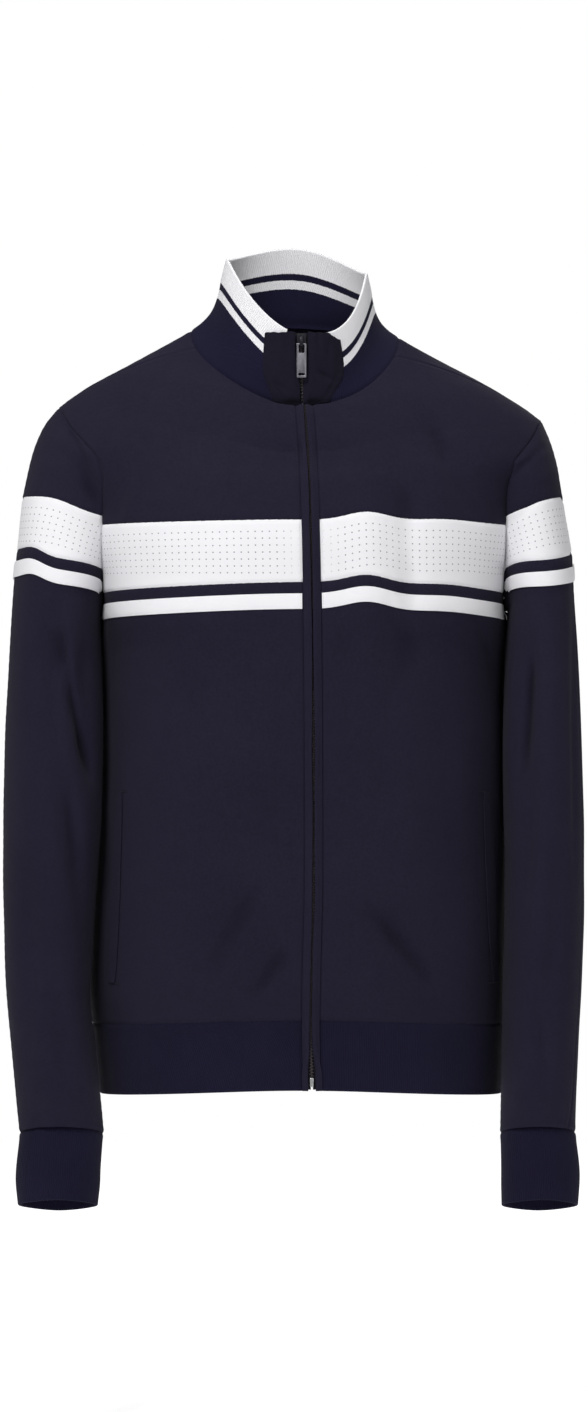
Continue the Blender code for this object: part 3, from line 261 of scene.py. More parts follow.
def smooth(xs, ys, at):
    """A curve through the points (xs, ys) with no overshoot, read at each value; straight beyond its ends."""
    if xs[0] > xs[-1]:
        xs, ys = xs[::-1], ys[::-1]
    at = np.asarray(at, float)
    gaps = np.diff(xs)
    rates = np.diff(ys) / gaps
    slopes = np.concatenate([rates[:1], (rates[:-1] + rates[1:]) / 2, rates[-1:]])
    for i, (before, after) in enumerate(zip(rates[:-1], rates[1:]), start=1):
        limit = 3 * min(abs(before), abs(after)) if before * after > 0 else 0
        slopes[i] = np.clip(slopes[i], -limit, limit)
    k = np.clip(np.searchsorted(xs, at) - 1, 0, len(gaps) - 1)
    t = (at - xs[k]) / gaps[k]
    inside = np.clip(t, 0, 1)
    value = (
        (2 * inside**3 - 3 * inside**2 + 1) * ys[k]
        + (inside**3 - 2 * inside**2 + inside) * gaps[k] * slopes[k]
        + (3 * inside**2 - 2 * inside**3) * ys[k + 1]
        + (inside**3 - inside**2) * gaps[k] * slopes[k + 1]
    )
    before = np.minimum(t, 0) * slopes[k] * gaps[k]
    after = np.maximum(t - 1, 0) * slopes[k + 1] * gaps[k]
    return value + before + after


def read(table, columns, name, at):
    return smooth(column(table, columns, columns[0]), column(table, columns, name), at)


def row_at(table, columns, level):
    """Every column of a table but the first, read at each level."""
    return {name: read(table, columns, name, level) for name in columns[1:]}


def ease(value, start, end):
    """0 at the start and 1 at the end, with level ends."""
    t = np.clip((value - start) / (end - start), 0, 1)
    return t * t * (3 - 2 * t)


def ring_radius(angle, half_width, half_depth, square):
    """Distance from the middle of a squared ellipse to its edge; angle 0 looks along its depth."""
    across = np.abs(np.sin(angle)) / half_width
    along = np.abs(np.cos(angle)) / half_depth
    return (across**square + along**square) ** (-1 / square)


def square_rest(share, square):
    """How much of a squared ellipse's one half-axis is left at this share of the other."""
    return (1 - np.abs(share) ** square) ** (1 / square)


def fold_depth(x, z, folds):
    """How far a set of folds pushes the cloth in at each place of the front view."""
    depth = np.zeros(np.broadcast(x, z).shape)
    for x0, z0, x1, z1, width, most in folds:
        length = math.hypot(x1 - x0, z1 - z0)
        along = ((x - x0) * (x1 - x0) + (z - z0) * (z1 - z0)) / length**2
        across = ((x - x0) * (z1 - z0) - (z - z0) * (x1 - x0)) / length
        fade = ease(along, -0.25, 0.3) * (1 - ease(along, 0.6, 1.25))
        depth += most * fade * np.exp(-((across / width) ** 2))
    return depth


def lifted(x, level, lifts):
    """How far the cloth is drawn up at each place."""
    total = np.zeros(np.broadcast(x, level).shape)
    for middle, width, most, below, full_from, full_to, above in lifts:
        share = ease(level, below, full_from) * (1 - ease(level, full_to, above))
        total += most * share * np.exp(-(((x - middle) / width) ** 2))
    return total


def tilted(points):
    """The shoulders' lean: above the chest, raised on the wearer's right and lowered on the left."""
    x, y, z = points
    return np.stack([x, y, z - SHOULDER_TILT * x * ease(z, TILT_FROM, TILT_TO)])


# ---------------------------------------------------------------- the body's surface


def torso(level, angle):
    """A point of the body. Angle 0 is the front, and a quarter turn is the wearer's left side."""
    row = row_at(TORSO, TORSO_COLUMNS, level)
    facing = np.cos(angle)
    half_depth = np.where(facing > 0, row["front"], row["back"])
    at_neck = ease(np.asarray(level, float), NECK_ROUND_FROM, NECK)
    rounding = RISE_ROUND + (NECK_ROUND - RISE_ROUND) * at_neck
    rise = np.where(facing > 0, row["front_rise"], row["back_rise"]) * np.abs(facing) ** rounding
    rise = rise - NECK_DROP * at_neck * np.exp(-(((angle - NECK_DROP_AT) / NECK_DROP_WIDTH) ** 2))
    radius = ring_radius(angle, row["half_width"], half_depth, row["square"])
    x = row["centre_x"] + radius * np.sin(angle)
    y = row["centre_y"] - radius * facing
    z = level + rise + lifted(x, level, CHEST_LIFTS) * ease(facing, 0, 0.6)
    front = fold_depth(x, z, TORSO_FRONT_FOLDS) * ease(facing, 0.05, 0.5)
    back = fold_depth(x, z, TORSO_BACK_FOLDS) * ease(-facing, 0.05, 0.5)
    return tilted(np.stack([x, y + front - back, z]))


def torso_angle(level, x, front=True):
    """The angle at which the ring of this level is at x, on its front or its back."""
    row = row_at(TORSO, TORSO_COLUMNS, level)
    across = np.clip((x - row["centre_x"]) / row["half_width"], -1, 1)
    half_depth = row["front"] if front else row["back"]
    deep = half_depth * square_rest(across, row["square"])
    return np.arctan2(across * row["half_width"], deep if front else -deep)


def depth_angle(level, side, depth, front):
    """The angle at which the ring of this level is this far in front of the side, or behind it."""
    row = row_at(TORSO, TORSO_COLUMNS, level)
    reach = depth / (row["front"] if front else row["back"])
    wide = side * row["half_width"] * square_rest(reach, row["square"])
    return np.arctan2(wide, depth if front else -depth)


def armhole_angle(level, side, front):
    name = SIDE_NAMES[side] + ("_front" if front else "_back")
    corners = np.array(ARMHOLE_CORNERS[::-1], float)
    upper = torso_angle(corners, side * read(UPPER_ARMHOLE, ARMHOLE_COLUMNS, name, corners), front)
    depth = read(LOWER_ARMHOLE, ARMHOLE_COLUMNS, name, np.minimum(corners, UPPER_ARMHOLE_FOOT))
    lower = depth_angle(corners, side, depth, front)
    return smooth(corners, np.where(corners > UPPER_ARMHOLE_FOOT, upper, lower), level)


def armhole_edge(level, side, front):
    """A point of the armhole seam."""
    return torso(level, armhole_angle(level, side, front))


def shoulder_angle(level, side):
    """The shoulder seam runs forward of the ridge, so the back panel reaches over it."""
    half = read(TORSO, TORSO_COLUMNS, "half_width", level)
    forward = read(SHOULDER_SEAM, SHOULDER_SEAM_COLUMNS, "forward", level)
    return side * (math.pi / 2 - np.arctan2(forward, half))


def edge_angle(level, side, front):
    """Where the front or the back panel ends: at the side seam, then the armhole, then the shoulder seam."""
    level = np.asarray(level, float)
    side_seam = np.full(level.shape, side * math.pi / 2)
    armhole = armhole_angle(np.clip(level, UNDERARM, SHOULDER_POINT), side, front)
    shoulder = shoulder_angle(np.clip(level, SHOULDER_POINT, NECK), side)
    return np.where(level < UNDERARM, side_seam, np.where(level > SHOULDER_POINT, shoulder, armhole))


def zip_x(height):
    return read(ZIP_LINE, ZIP_COLUMNS, "x", height)


def centre_angle(level, offset):
    """The angle at this distance from the zip's line, on the front."""
    height = level + read(TORSO, TORSO_COLUMNS, "front_rise", level)
    return torso_angle(level, zip_x(height) + offset)


def front_surface(side):
    """The front's surface: across runs from the placket to the panel's outer edge."""

    def point(level, across):
        start = centre_angle(level, side * (PLACKET + SEAM))
        end = edge_angle(level, side, True)
        return torso(level, start + (end - start) * across)

    return point


def back_surface(level, across):
    """The back's surface: across runs from the wearer's right edge round to the left one."""
    start = edge_angle(level, RIGHT, False) % (2 * math.pi)
    end = edge_angle(level, LEFT, False)
    return torso(level, start + (end - start) * across)


# ---------------------------------------------------------------- the sleeves' surface


def sleeve_ring(table, columns, level, side, angle):
    """A point of a sleeve's or cuff's ring, before it is brought to the armhole. Angle 0 is outermost."""
    row = row_at(table, columns, level)
    half_width = row["outer"] - row["middle"]
    radius = ring_radius(angle + math.pi / 2, half_width, row["depth"], SLEEVE_SQUARE)
    x = side * (row["middle"] + radius * np.cos(angle))
    y = row["centre_y"] - radius * np.sin(angle)
    return x, y


def outer_seam_angle(level, side):
    return math.radians(OUTER_SEAM[side]) * ease(np.asarray(level, float), SHOULDER_POINT, OUTER_SEAM_RUNS_IN)


def sleeve_surface(side, front):
    """One sleeve panel: across runs from the outer seam to the armhole or the underarm seam."""
    table = SLEEVE[side]
    turn = 1 if front else -1

    def point(level, across):
        level, across = np.broadcast_arrays(np.minimum(level, SHOULDER_POINT), across)
        row = row_at(table, SLEEVE_COLUMNS, level)
        meets = row["meets"]
        on_armhole = armhole_edge(np.clip(meets, UNDERARM, SHOULDER_POINT), side, front)
        start = outer_seam_angle(level, side)
        reach_x = side * on_armhole[0] - row["middle"]
        reach_y = turn * (row["centre_y"] - on_armhole[1])
        to_armhole = turn * np.arctan2(np.maximum(reach_y, 0), reach_x)
        end = np.where(meets < UNDERARM, turn * math.pi, to_armhole)
        angle = start + (end - start) * across
        x, y = sleeve_ring(table, SLEEVE_COLUMNS, level, side, angle)
        end_x, end_y = sleeve_ring(table, SLEEVE_COLUMNS, level, side, end)
        pull = np.clip(across, 0, None) ** PULLED_TO_ARMHOLE * np.where(meets < UNDERARM, 0, 1)
        x = x + pull * (on_armhole[0] - end_x)
        y = y + pull * (on_armhole[1] - end_y)
        low = np.where(meets < UNDERARM, meets, on_armhole[2])
        drop = np.clip(across, 0, None) ** DROPPED_TO_ARMHOLE
        tilt = SHOULDER_TILT * x * ease(level, TILT_FROM, TILT_TO)
        z = (level - tilt) * (1 - drop) + low * drop
        z = z + CUFF_TILT * np.sin(angle) * ease(-level, -CUFF_TILT_FROM, -SLEEVE_END)
        z = z + lifted(x, level, SLEEVE_LIFTS[side]) * ease(turn * np.sin(angle), 0, 0.5) * (1 - pull)
        folds = SLEEVE_FRONT_FOLDS[side] if front else SLEEVE_BACK_FOLDS[side]
        inward = fold_depth(x, z, folds) * ease(turn * np.sin(angle), 0.05, 0.4)
        points = np.stack([x, y + turn * inward * (1 - pull), z])
        crown_level = SHOULDER_POINT + (CROWN_END - SHOULDER_POINT) * across * np.abs(across)
        crown = armhole_edge(crown_level, side, front)
        share = 1 - ease(level, SHOULDER_POINT, SHOULDER_POINT - CROWN_BLEND)
        return points + (crown - points) * share

    return point


def cuff_surface(side):
    def point(level, around):
        angle = 2 * math.pi * around
        x, y = sleeve_ring(CUFF[side], CUFF_COLUMNS, level, side, angle)
        return np.stack([x, y, level + CUFF_TILT * np.sin(angle)])

    return point


# ---------------------------------------------------------------- the collar's surface


def collar(up, angle):
    """A point of the collar. Up runs from its seam to its edge, and the angle is measured as on the body."""
    facing, sideways = np.cos(angle), np.abs(np.sin(angle))
    row = row_at(COLLAR, COLLAR_COLUMNS, up)
    half_depth = np.where(facing > 0, row["front"], row["back"])
    radius = ring_radius(angle, row["half_width"], half_depth, COLLAR_SQUARE)
    x = radius * np.sin(angle) + COLLAR_CENTRE_X + COLLAR_SHIFT * up
    y = COLLAR_CENTRE_Y - radius * facing
    foot = torso(np.full(np.shape(x), NECK), angle)[2]
    side_top = np.where(np.sin(angle) > 0, COLLAR_SIDE_TOP[LEFT], COLLAR_SIDE_TOP[RIGHT])
    sweep_late = np.where(np.sin(angle) > 0, COLLAR_SWEEP[LEFT], COLLAR_SWEEP[RIGHT])
    front_top = COLLAR_FRONT_TOP + (side_top - COLLAR_FRONT_TOP) * sideways**sweep_late
    back_top = side_top + (COLLAR_BACK_TOP - side_top) * (1 - sideways**2)
    top = np.where(facing > 0, front_top, back_top) - COLLAR_LEAN * x
    return np.stack([x, y, foot + (top - foot) * up])


def collar_angle(up, x):
    """The angle at which the collar is at x, on its front."""
    row = row_at(COLLAR, COLLAR_COLUMNS, up)
    across = (x - COLLAR_CENTRE_X - COLLAR_SHIFT * up) / row["half_width"]
    return np.arctan2(across * row["half_width"], row["front"] * square_rest(across, COLLAR_SQUARE))


def collar_surface(up, around):
    start = collar_angle(up, zip_x(0) + RIB_FROM_ZIP)
    end = 2 * math.pi + collar_angle(up, zip_x(0) - RIB_FROM_ZIP)
    return collar(up, start + (end - start) * around)


def collar_end_surface(side):
    """The shell piece over the rib's front end, from the zip's edge outwards."""

    def point(up, across):
        bulge = COLLAR_END_BULGE[side] * np.sin(np.pi * np.clip(up, 0, 1))
        outer = COLLAR_END_REACH[side] + bulge - COLLAR_END_TUCK[side] * (1 - ease(up, 0, 0.4))
        inner = COLLAR_END_FOOT_GAP + COLLAR_END_OPENS * ease(up, 0.2, 0.8)
        x = zip_x(COLLAR_END_HEIGHT) + side * (inner + (outer - inner) * across)
        middle_angle = collar_angle(np.full(np.shape(x), 0.5), x)
        foot = collar(np.zeros(np.shape(x)), middle_angle)[2]
        top = collar(np.ones(np.shape(x)), middle_angle)[2]
        edge = COLLAR_END_TOP - COLLAR_END_SLOPE[side] * ease(across, 0.55, 1.0)
        edge = edge + COLLAR_END_WAVER * np.sin(across * 17 + side) * np.sin(across * 7 + 0.6)
        height = up * (edge - foot) / (top - foot)
        return collar(height, collar_angle(height, x))

    return point


def hem_surface(level, around):
    start = centre_angle(level, PLACKET + SEAM)
    end = 2 * math.pi + centre_angle(level, -PLACKET - SEAM)
    return torso(level, start + (end - start) * around)


def zip_place(height):
    """The front's surface on the zip's line at this height: x, y, and the way out of it in y and z."""

    def depth(z):
        levels = np.linspace(HEM_EDGE - 6, NECK, 160)
        body = torso(levels, centre_angle(levels, 0))
        ups = np.linspace(0.02, 1.1, 12)
        stand = collar(ups, collar_angle(ups, zip_x(COLLAR_END_HEIGHT)))
        return np.interp(z, np.concatenate([body[2], stand[2]]), np.concatenate([body[1], stand[1]]))

    height = np.asarray(height, float)
    slope = (depth(height + 4) - depth(height - 4)) / 8
    length = np.sqrt(1 + slope**2)
    return zip_x(height), depth(height), -1 / length, slope / length


def welt_run(level, side):
    """How far down the welt this level lies, from 0 to 1, its middle line there and its share of the full width."""
    top_x, foot_x = WELT_LINE[side]
    down = (WELT_TOP - level) / (WELT_TOP - WELT_FOOT)
    narrow = WELT_END + (1 - WELT_END) * np.sin(np.pi * np.clip(down, 0, 1)) ** WELT_ROUND
    return down, top_x + (foot_x - top_x) * down, narrow


def welt_surface(side):
    def point(level, across):
        _, middle, narrow = welt_run(level, side)
        return torso(level, torso_angle(level, middle + WELT_WIDTH * narrow * (across - 0.5)))

    return point


# ---------------------------------------------------------------- cloth

SHELL, RIB_SHELL, TAPE_SHELL = 1.0, 2.3, 0.8  # thickness of each cloth here
JOIN = -0.1  # how far a sewn edge is drawn in; being negative, it runs on this far over its seam line
EDGE_MARKS = (0, 0.5, 1.1, 1.9, 3.0, 4.6, 7.0, 10)  # rows this far from a sewn edge
FREE_MARKS = (0, 0.12, 0.35, 0.7, 1.2, 2.4, 5)  # and from a folded one
ROLL, ROLL_WIDTH = 0.62, 1.5  # how deep a sewn edge rolls in, and how far from it
SWELL, SWELL_AT, SWELL_WIDTH = 0.2, 4.2, 2.4  # the soft ridge beside it
PUCKER, PUCKER_STEP, PUCKER_REACH = 0.2, 8.5, 6.0  # the small waves along a seam, and how far in they reach
PUCKER_WANDER, WANDER_STEP, PUCKER_START = 2.2, 31, 0.9  # how uneven they are, and how near the edge they begin
SLOW_RISE, QUICK_RISE = 0.42, 0.16  # the wide and the narrow unevenness of worn cloth
EDGE_SHARE, CLEAR = 0.42, 0.45  # the part of a run its edge rows may take, and how near a kept row others may be
THINNEST = 0.01  # half the thickness left at the edge of a fold
HOLLOW_REACH, HOLLOW_BLUR = 26, 3  # how many times the cloth is averaged to find its hollows, and they in turn
OWN_SHARE = 0.05  # how much an edge with no neighbour keeps to its own normal
NEAR_SEAM, LEAN_REACH = 2.8, 6.0  # how near a neighbour's edge counts, and how far in the cloth leans to meet it
FOLD_SHADE_FULL = 2.6  # a place this far below the cloth round it gets the darkest painted fold shade
NARROWEST = 10.2  # the least width that a piece of cloth is said to be cut from
SHELLS, CLOTHS = [], {}  # the planned shells, and the outer face of each one built


def unit(ways, axis=0):
    """The same ways, each made 1 long."""
    return ways / np.linalg.norm(ways, axis=axis, keepdims=True)


def gaps(points, axis=1):
    """How far each point lies from the next along this axis."""
    return np.linalg.norm(np.diff(points, axis=axis), axis=0)


def spots(length, step, marks, keep=()):
    """Places from 0 to 1 on a run of this length, closer together near its two ends."""
    start, end = (np.array([mark for mark in run if mark < length * EDGE_SHARE]) for run in marks)
    inner = length - start[-1] - end[-1]
    middle = start[-1] + inner * np.linspace(0, 1, max(2, round(inner / step)) + 1)[1:-1]
    places = np.concatenate([start, middle, length - end]) / length
    for extra in keep:
        places = places[np.abs(places - extra) * length > CLEAR]
    return np.unique(np.concatenate([places, [0.0, 1.0], keep]))


def length_of(line, ends):
    return float(gaps(line(np.linspace(*ends, 240))).sum())


def soft(points):
    """The slow unevenness of worn cloth, the same on both sides of a seam."""
    x, y, z = points
    slow = np.sin(x / 23 + 1.3 * np.sin(z / 61)) * np.sin(z / 37 + y / 29 + 0.7)
    quick = np.sin(x / 11.5 + z / 19 + 2.1) * np.sin(y / 13 - z / 27 + 0.4)
    return SLOW_RISE * slow + QUICK_RISE * quick


def grid(surface, rows, columns):
    """Points and outward normals of a surface, as arrays of (3, rows, columns)."""
    v, u = np.meshgrid(rows, columns, indexing="ij")
    tall = STEP * (rows[-1] - rows[0])
    wide = STEP * (columns[-1] - columns[0])
    points = surface(v, u)
    over = surface(v, u + wide) - surface(v, u - wide)
    up = surface(v + tall, u) - surface(v - tall, u)
    return points, unit(np.cross(over, up, axis=0))


def running(points):
    """How far each point of a grid lies up its column and along its row."""
    up, along = np.zeros(points.shape[1:]), np.zeros(points.shape[1:])
    up[1:] = np.cumsum(gaps(points), axis=0)
    along[:, 1:] = np.cumsum(gaps(points, 2), axis=1)
    return up, along


EDGES = {"f": np.s_[:, 0], "t": np.s_[:, -1], "s": np.s_[:, :, 0], "e": np.s_[:, :, -1]}
INNERS = {"f": np.s_[:, 1], "t": np.s_[:, -2], "s": np.s_[:, :, 1], "e": np.s_[:, :, -2]}


def drawn_in(points, amounts):
    """The same points with each named edge moved in along the cloth."""
    result = points.copy()
    for edge, amount in amounts.items():
        way = points[INNERS[edge]] - points[EDGES[edge]]
        result[EDGES[edge]] += amount * way / np.linalg.norm(way, axis=0)
    return result


def spread(values, times):
    """The same values, each shared this many times with those beside it."""
    mean = values.copy()
    for _ in range(times):
        mean[:, 1:-1] = (mean[:, :-2] + 2 * mean[:, 1:-1] + mean[:, 2:]) / 4
        mean[:, :, 1:-1] = (mean[:, :, :-2] + 2 * mean[:, :, 1:-1] + mean[:, :, 2:]) / 4
    return mean


def hollows(points, ways):
    """How far each place of the cloth lies below the mean of the cloth round it."""
    below = ((spread(points, HOLLOW_REACH) - points) * ways).sum(0)
    return spread(below[None], HOLLOW_BLUR)[0]


def area_of(points):
    one = points[:, 1:, 1:] - points[:, :-1, :-1]
    other = points[:, 1:, :-1] - points[:, :-1, 1:]
    return float(np.linalg.norm(np.cross(one, other, axis=0), axis=0).sum() / 2)


def placed(name, data):
    """A new object of the scene."""
    made = bpy.data.objects.new(name, data)
    bpy.context.scene.collection.objects.link(made)
    return made


def mesh_of(name, vertices, quads, uv=None, sharp=55):
    """A mesh piece from points in millimetres."""
    mesh = bpy.data.meshes.new(name)
    mesh.vertices.add(len(vertices))
    mesh.vertices.foreach_set("co", (vertices * MM).ravel())
    mesh.loops.add(quads.size)
    mesh.loops.foreach_set("vertex_index", quads.ravel())
    mesh.polygons.add(len(quads))
    mesh.polygons.foreach_set("loop_start", np.arange(0, quads.size, quads.shape[1]))
    if uv is not None:
        mesh.uv_layers.new(name=CUT).uv.foreach_set("vector", uv.ravel())
    mesh.update()
    mesh.validate()
    mesh.shade_smooth()
    mesh.set_sharp_from_angle(angle=math.radians(sharp))
    return placed(name, mesh)


def walls(outer, inner, u, v, closed):
    """Points, quads and flat coordinates of a closed shell between two grids."""
    high, full = outer.shape[1:]
    wide = full - 1 if closed else full
    sides = []

    def side(rows, columns, layers):
        sides.append(np.stack([np.stack(np.broadcast_arrays(*c), -1) for c in zip(rows, columns, layers)], -2))

    i, j = (a.ravel() for a in np.meshgrid(np.arange(high - 1), np.arange(full - 1), indexing="ij"))
    side((i, i, i + 1, i + 1), (j, j + 1, j + 1, j), (0, 0, 0, 0))
    side((i + 1, i + 1, i, i), (j, j + 1, j + 1, j), (1, 1, 1, 1))
    k, last = np.arange(full - 1), high - 1
    side((0, 0, 0, 0), (k, k, k + 1, k + 1), (0, 1, 1, 0))
    side((last,) * 4, (k, k + 1, k + 1, k), (0, 0, 1, 1))
    if not closed:
        k, last = np.arange(high - 1), full - 1
        side((k, k + 1, k + 1, k), (0, 0, 0, 0), (0, 0, 1, 1))
        side((k + 1, k, k, k + 1), (last,) * 4, (0, 0, 1, 1))
    corners = np.concatenate(sides)
    row, column_, layer = corners[..., 0], corners[..., 1], corners[..., 2]
    uv = np.stack([u[row, column_], v[row, column_]], -1)
    quads = layer * high * wide + row * wide + column_ % wide
    points = np.concatenate([face[:, :, :wide].reshape(3, -1).T for face in (outer, inner)])
    a, b, c = (points[quads[:, n]] for n in range(3))
    if np.einsum("ij,ij->i", a, np.cross(b, c)).sum() < 0:
        quads, uv = quads[:, ::-1], uv[:, ::-1]
    return points, np.ascontiguousarray(quads), np.ascontiguousarray(uv)


class Shell:
    """A thin wall of cloth on a surface, from its foot to its top and from its start to its end.

    Sewn names the edges that roll into a seam, and folded those that are a rounded fold: foot, top, start, end.
    The piece stands for the solid that it is named after, unless nodes says otherwise.
    """

    def __init__(self, part, surface, levels, finish, columns=(0, 1), nodes=None, inside=(0, 0), thick=SHELL,
                 raised=0.0, closed=False, sewn="ftse", folded="", step=4.0, keep=(), form=None, roll=1.0,
                 fold_shade_full=FOLD_SHADE_FULL):
        self.name, self.nodes = f"{part}_cloth", [part] if nodes is None else nodes
        self.finish, self.form, self.fold_shade_full = finish, form, fold_shade_full
        self.thick, self.raised, self.closed = thick, raised, closed
        self.sewn, self.folded, self.roll = sewn, folded, roll
        middle, mean = sum(columns) / 2, sum(levels) / 2
        tall = length_of(lambda v: surface(v, np.full(v.shape, middle)), levels)
        wide = length_of(lambda u: surface(np.full(u.shape, mean), u), columns)
        marks = {edge: FREE_MARKS if edge in folded else EDGE_MARKS for edge in "ftse"}
        kept = [(level - levels[0]) / (levels[1] - levels[0]) for level in keep if levels[0] < level < levels[1]]
        rows = levels[0] + (levels[1] - levels[0]) * spots(tall, step, (marks["f"], marks["t"]), kept)
        places = np.linspace(0, 1, round(wide / step) + 1) if closed else spots(wide, step, (marks["s"], marks["e"]))
        along = columns[0] + (columns[1] - columns[0]) * places
        self.points, normals = grid(surface, rows, along)
        away = (self.points[:2] - np.reshape(inside, (2, 1, 1))) * normals[:2]
        self.normals = normals * math.copysign(1, away.sum())
        self.up, self.run = running(self.points)
        self.down = self.up[-1:] - self.up
        self.near = {"f": self.up, "t": self.down, "s": self.run, "e": self.run[:, -1:] - self.run}
        SHELLS.append(self)

    def sewn_points(self):
        """Places and normals on the sewn edges, each normal as long as the stretch of edge that it stands for."""
        for edge in self.sewn:
            places, ways = self.points[EDGES[edge]], self.normals[EDGES[edge]]
            spans = gaps(places)
            yield places.T, (ways * (np.append(spans, 0) + np.append(0, spans)) / 2).T

    def lean_to_neighbours(self, places, ways):
        """Turns the cloth's normals, near each sewn edge, to the mean of those on the two sides of the seam."""
        change, total = np.zeros(self.normals.shape), np.zeros(self.up.shape)
        for edge in self.sewn:
            away = self.points[EDGES[edge]].T[:, None] - places
            weight = np.exp(-(away**2).sum(2) / NEAR_SEAM**2)
            own = self.normals[EDGES[edge]]
            turned = unit((weight @ ways).T + OWN_SHARE * own) - own
            share = np.exp(-((self.near[edge] / LEAN_REACH) ** 2))
            turned = turned[:, None, :] if edge in "ft" else turned[:, :, None]
            change, total = change + turned * share, total + share
        self.leaning = unit(self.normals + change / np.maximum(total, 1))

    def build(self):
        rise = soft(self.points)
        if self.form is not None:
            rise = rise + self.form(self.points, self.normals, self.near)
        half = np.full(rise.shape, self.thick / 2)
        for edge, reach in self.near.items():
            if edge in self.sewn:
                rise = rise - self.roll * ROLL * np.exp(-((reach / ROLL_WIDTH) ** 2))
                rise = rise + self.roll * SWELL * np.exp(-(((reach - SWELL_AT) / SWELL_WIDTH) ** 2))
                line = self.run if edge in "ft" else self.up
                wave = np.sin(2 * np.pi * line / PUCKER_STEP + PUCKER_WANDER * np.sin(line / WANDER_STEP))
                wave = wave * np.exp(-reach / PUCKER_REACH) * (1 - np.exp(-reach / PUCKER_START))
                rise = rise + self.roll * PUCKER * wave
            if edge in self.folded:
                left = np.clip(self.thick / 2 - reach, 0, None)
                half = np.minimum(half, np.sqrt(np.maximum((self.thick / 2) ** 2 - left**2, THINNEST**2)))
        amounts = {edge: JOIN for edge in self.sewn}
        base = self.raised + self.thick / 2 if self.raised else -self.thick / 2
        outer = drawn_in(self.points + self.leaning * (base + rise + half), amounts)
        inner = drawn_in(self.points + self.leaning * (base + rise - half), amounts)
        if self.closed:
            outer[:, :, -1], inner[:, :, -1] = outer[:, :, 0], inner[:, :, 0]
        made = mesh_of(self.name, *walls(outer, inner, self.run, self.down, self.closed))
        CLOTHS[self.name] = (outer, self.leaning)
        # How deep each place lies in a fold, kept on the mesh for the painted shade that darkens the knits there
        depth = np.clip(hollows(outer, self.leaning) / self.fold_shade_full, 0, 1)[:, : -1 if self.closed else None].ravel()
        depth = np.concatenate([depth, np.zeros(len(depth))])
        made.data.attributes.new(FOLD_SHADE, "FLOAT", "POINT").data.foreach_set("value", depth)
        flat = [max(self.run[:, -1].max(), NARROWEST), self.up[-1].max()]
        area = min(area_of(self.points), flat[0] * flat[1])
        added(made, self.finish, self.nodes)


def build_shells():
    """Builds the planned shells once every seam's two sides are known."""
    sewn = [part for shell in SHELLS if not shell.raised for part in shell.sewn_points()]
    places, ways = (np.concatenate(parts) for parts in zip(*sewn))
    for shell in SHELLS:
        shell.lean_to_neighbours(places, ways)
        shell.build()


def added(made, finish, nodes=(), body="jacket"):
    """Gives a new piece its material and the body that it rides on, and hides the solids that it stands for."""
    made.data.materials.append(finish)
    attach(made, body)
    if nodes:
        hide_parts(*nodes)


# ---------------------------------------------------------------- threads, teeth and metal

CAPSULE = ((-1, 0.35), (-0.82, 0.85), (0.82, 0.85), (1, 0.35))  # place and girth of each ring of a capsule
CAPSULE_SIDES, STRAP_SIDES = 6, 12
THREAD_OUT, THREAD_GIRTH = 0.06, (0.17, 0.13)  # how far a stitch's middle lies off the cloth, and its half-breadths
TACK_OUT, TACK_WIDTH, TACK_PITCH, TACK_GIRTH = 0.25, 1.6, 0.42, (0.26, 0.3)


def capsules(name, centres, along, outward, half_length, girth, finish):
    """Many small rounded bars in one mesh; girth is half their breadth and half their height."""
    across = unit(np.cross(along, outward), 1)
    sides = CAPSULE_SIDES
    turns = np.linspace(0, 2 * math.pi, sides, endpoint=False)
    rings = [
        centres[:, None] + along[:, None] * place * half_length
        + girth[0] * share * np.cos(turns)[:, None] * across[:, None]
        + girth[1] * share * np.sin(turns)[:, None] * outward[:, None]
        for place, share in CAPSULE
    ]
    vertices = np.stack(rings, 1).reshape(-1, 3)
    quads = []
    for ring in range(len(CAPSULE) - 1):
        for k in range(sides):
            a, b = ring * sides + k, ring * sides + (k + 1) % sides
            quads.append((a, a + sides, b + sides, b))
    for first in (0, (len(CAPSULE) - 1) * sides):
        for k in range(1, sides - 1, 2):
            cap = (first, first + k, first + k + 1, first + (k + 2) % sides)
            quads.append(cap if first == 0 else cap[::-1])
    step = len(CAPSULE) * sides
    quads = (np.arange(len(centres))[:, None, None] * step + np.array(quads)).reshape(-1, 4)
    added(mesh_of(name, vertices, quads, sharp=70), finish)


def on_cloth(cloth, xs, zs):
    """Points and outward ways on this cloth's outer face, at places seen from the front."""
    points, ways = (part.reshape(3, -1) for part in CLOTHS[cloth])
    seen = ways[1] < -0.1
    points, ways = points[:, seen], ways[:, seen]
    found = [int(np.argmin((points[0] - x) ** 2 + (points[2] - z) ** 2)) for x, z in zip(xs, zs)]
    near, way = points[:, found].T, ways[:, found].T
    y = near[:, 1] - (way[:, 0] * (xs - near[:, 0]) + way[:, 2] * (zs - near[:, 2])) / way[:, 1]
    return np.stack([xs, y, zs], 1), way


def stitches(name, cloth, corners, finish, pitch=2.6, length=1.9, girth=THREAD_GIRTH):
    """A row of stitches through these corners of the front view, laid on a cloth."""
    corners = np.asarray(corners, float)
    reach = np.concatenate([[0], np.cumsum(np.linalg.norm(np.diff(corners, axis=0), axis=1))])
    places = np.arange(pitch / 2, reach[-1], pitch)
    ends = [[np.interp(places + side * length / 2, reach, corners[:, k]) for k in (0, 1)] for side in (-1, 1)]
    (start, way), (end, _) = (on_cloth(cloth, *spot) for spot in ends)
    capsules(name, (start + end) / 2 + way * THREAD_OUT, unit(end - start, 1), way, length / 2, girth, finish)


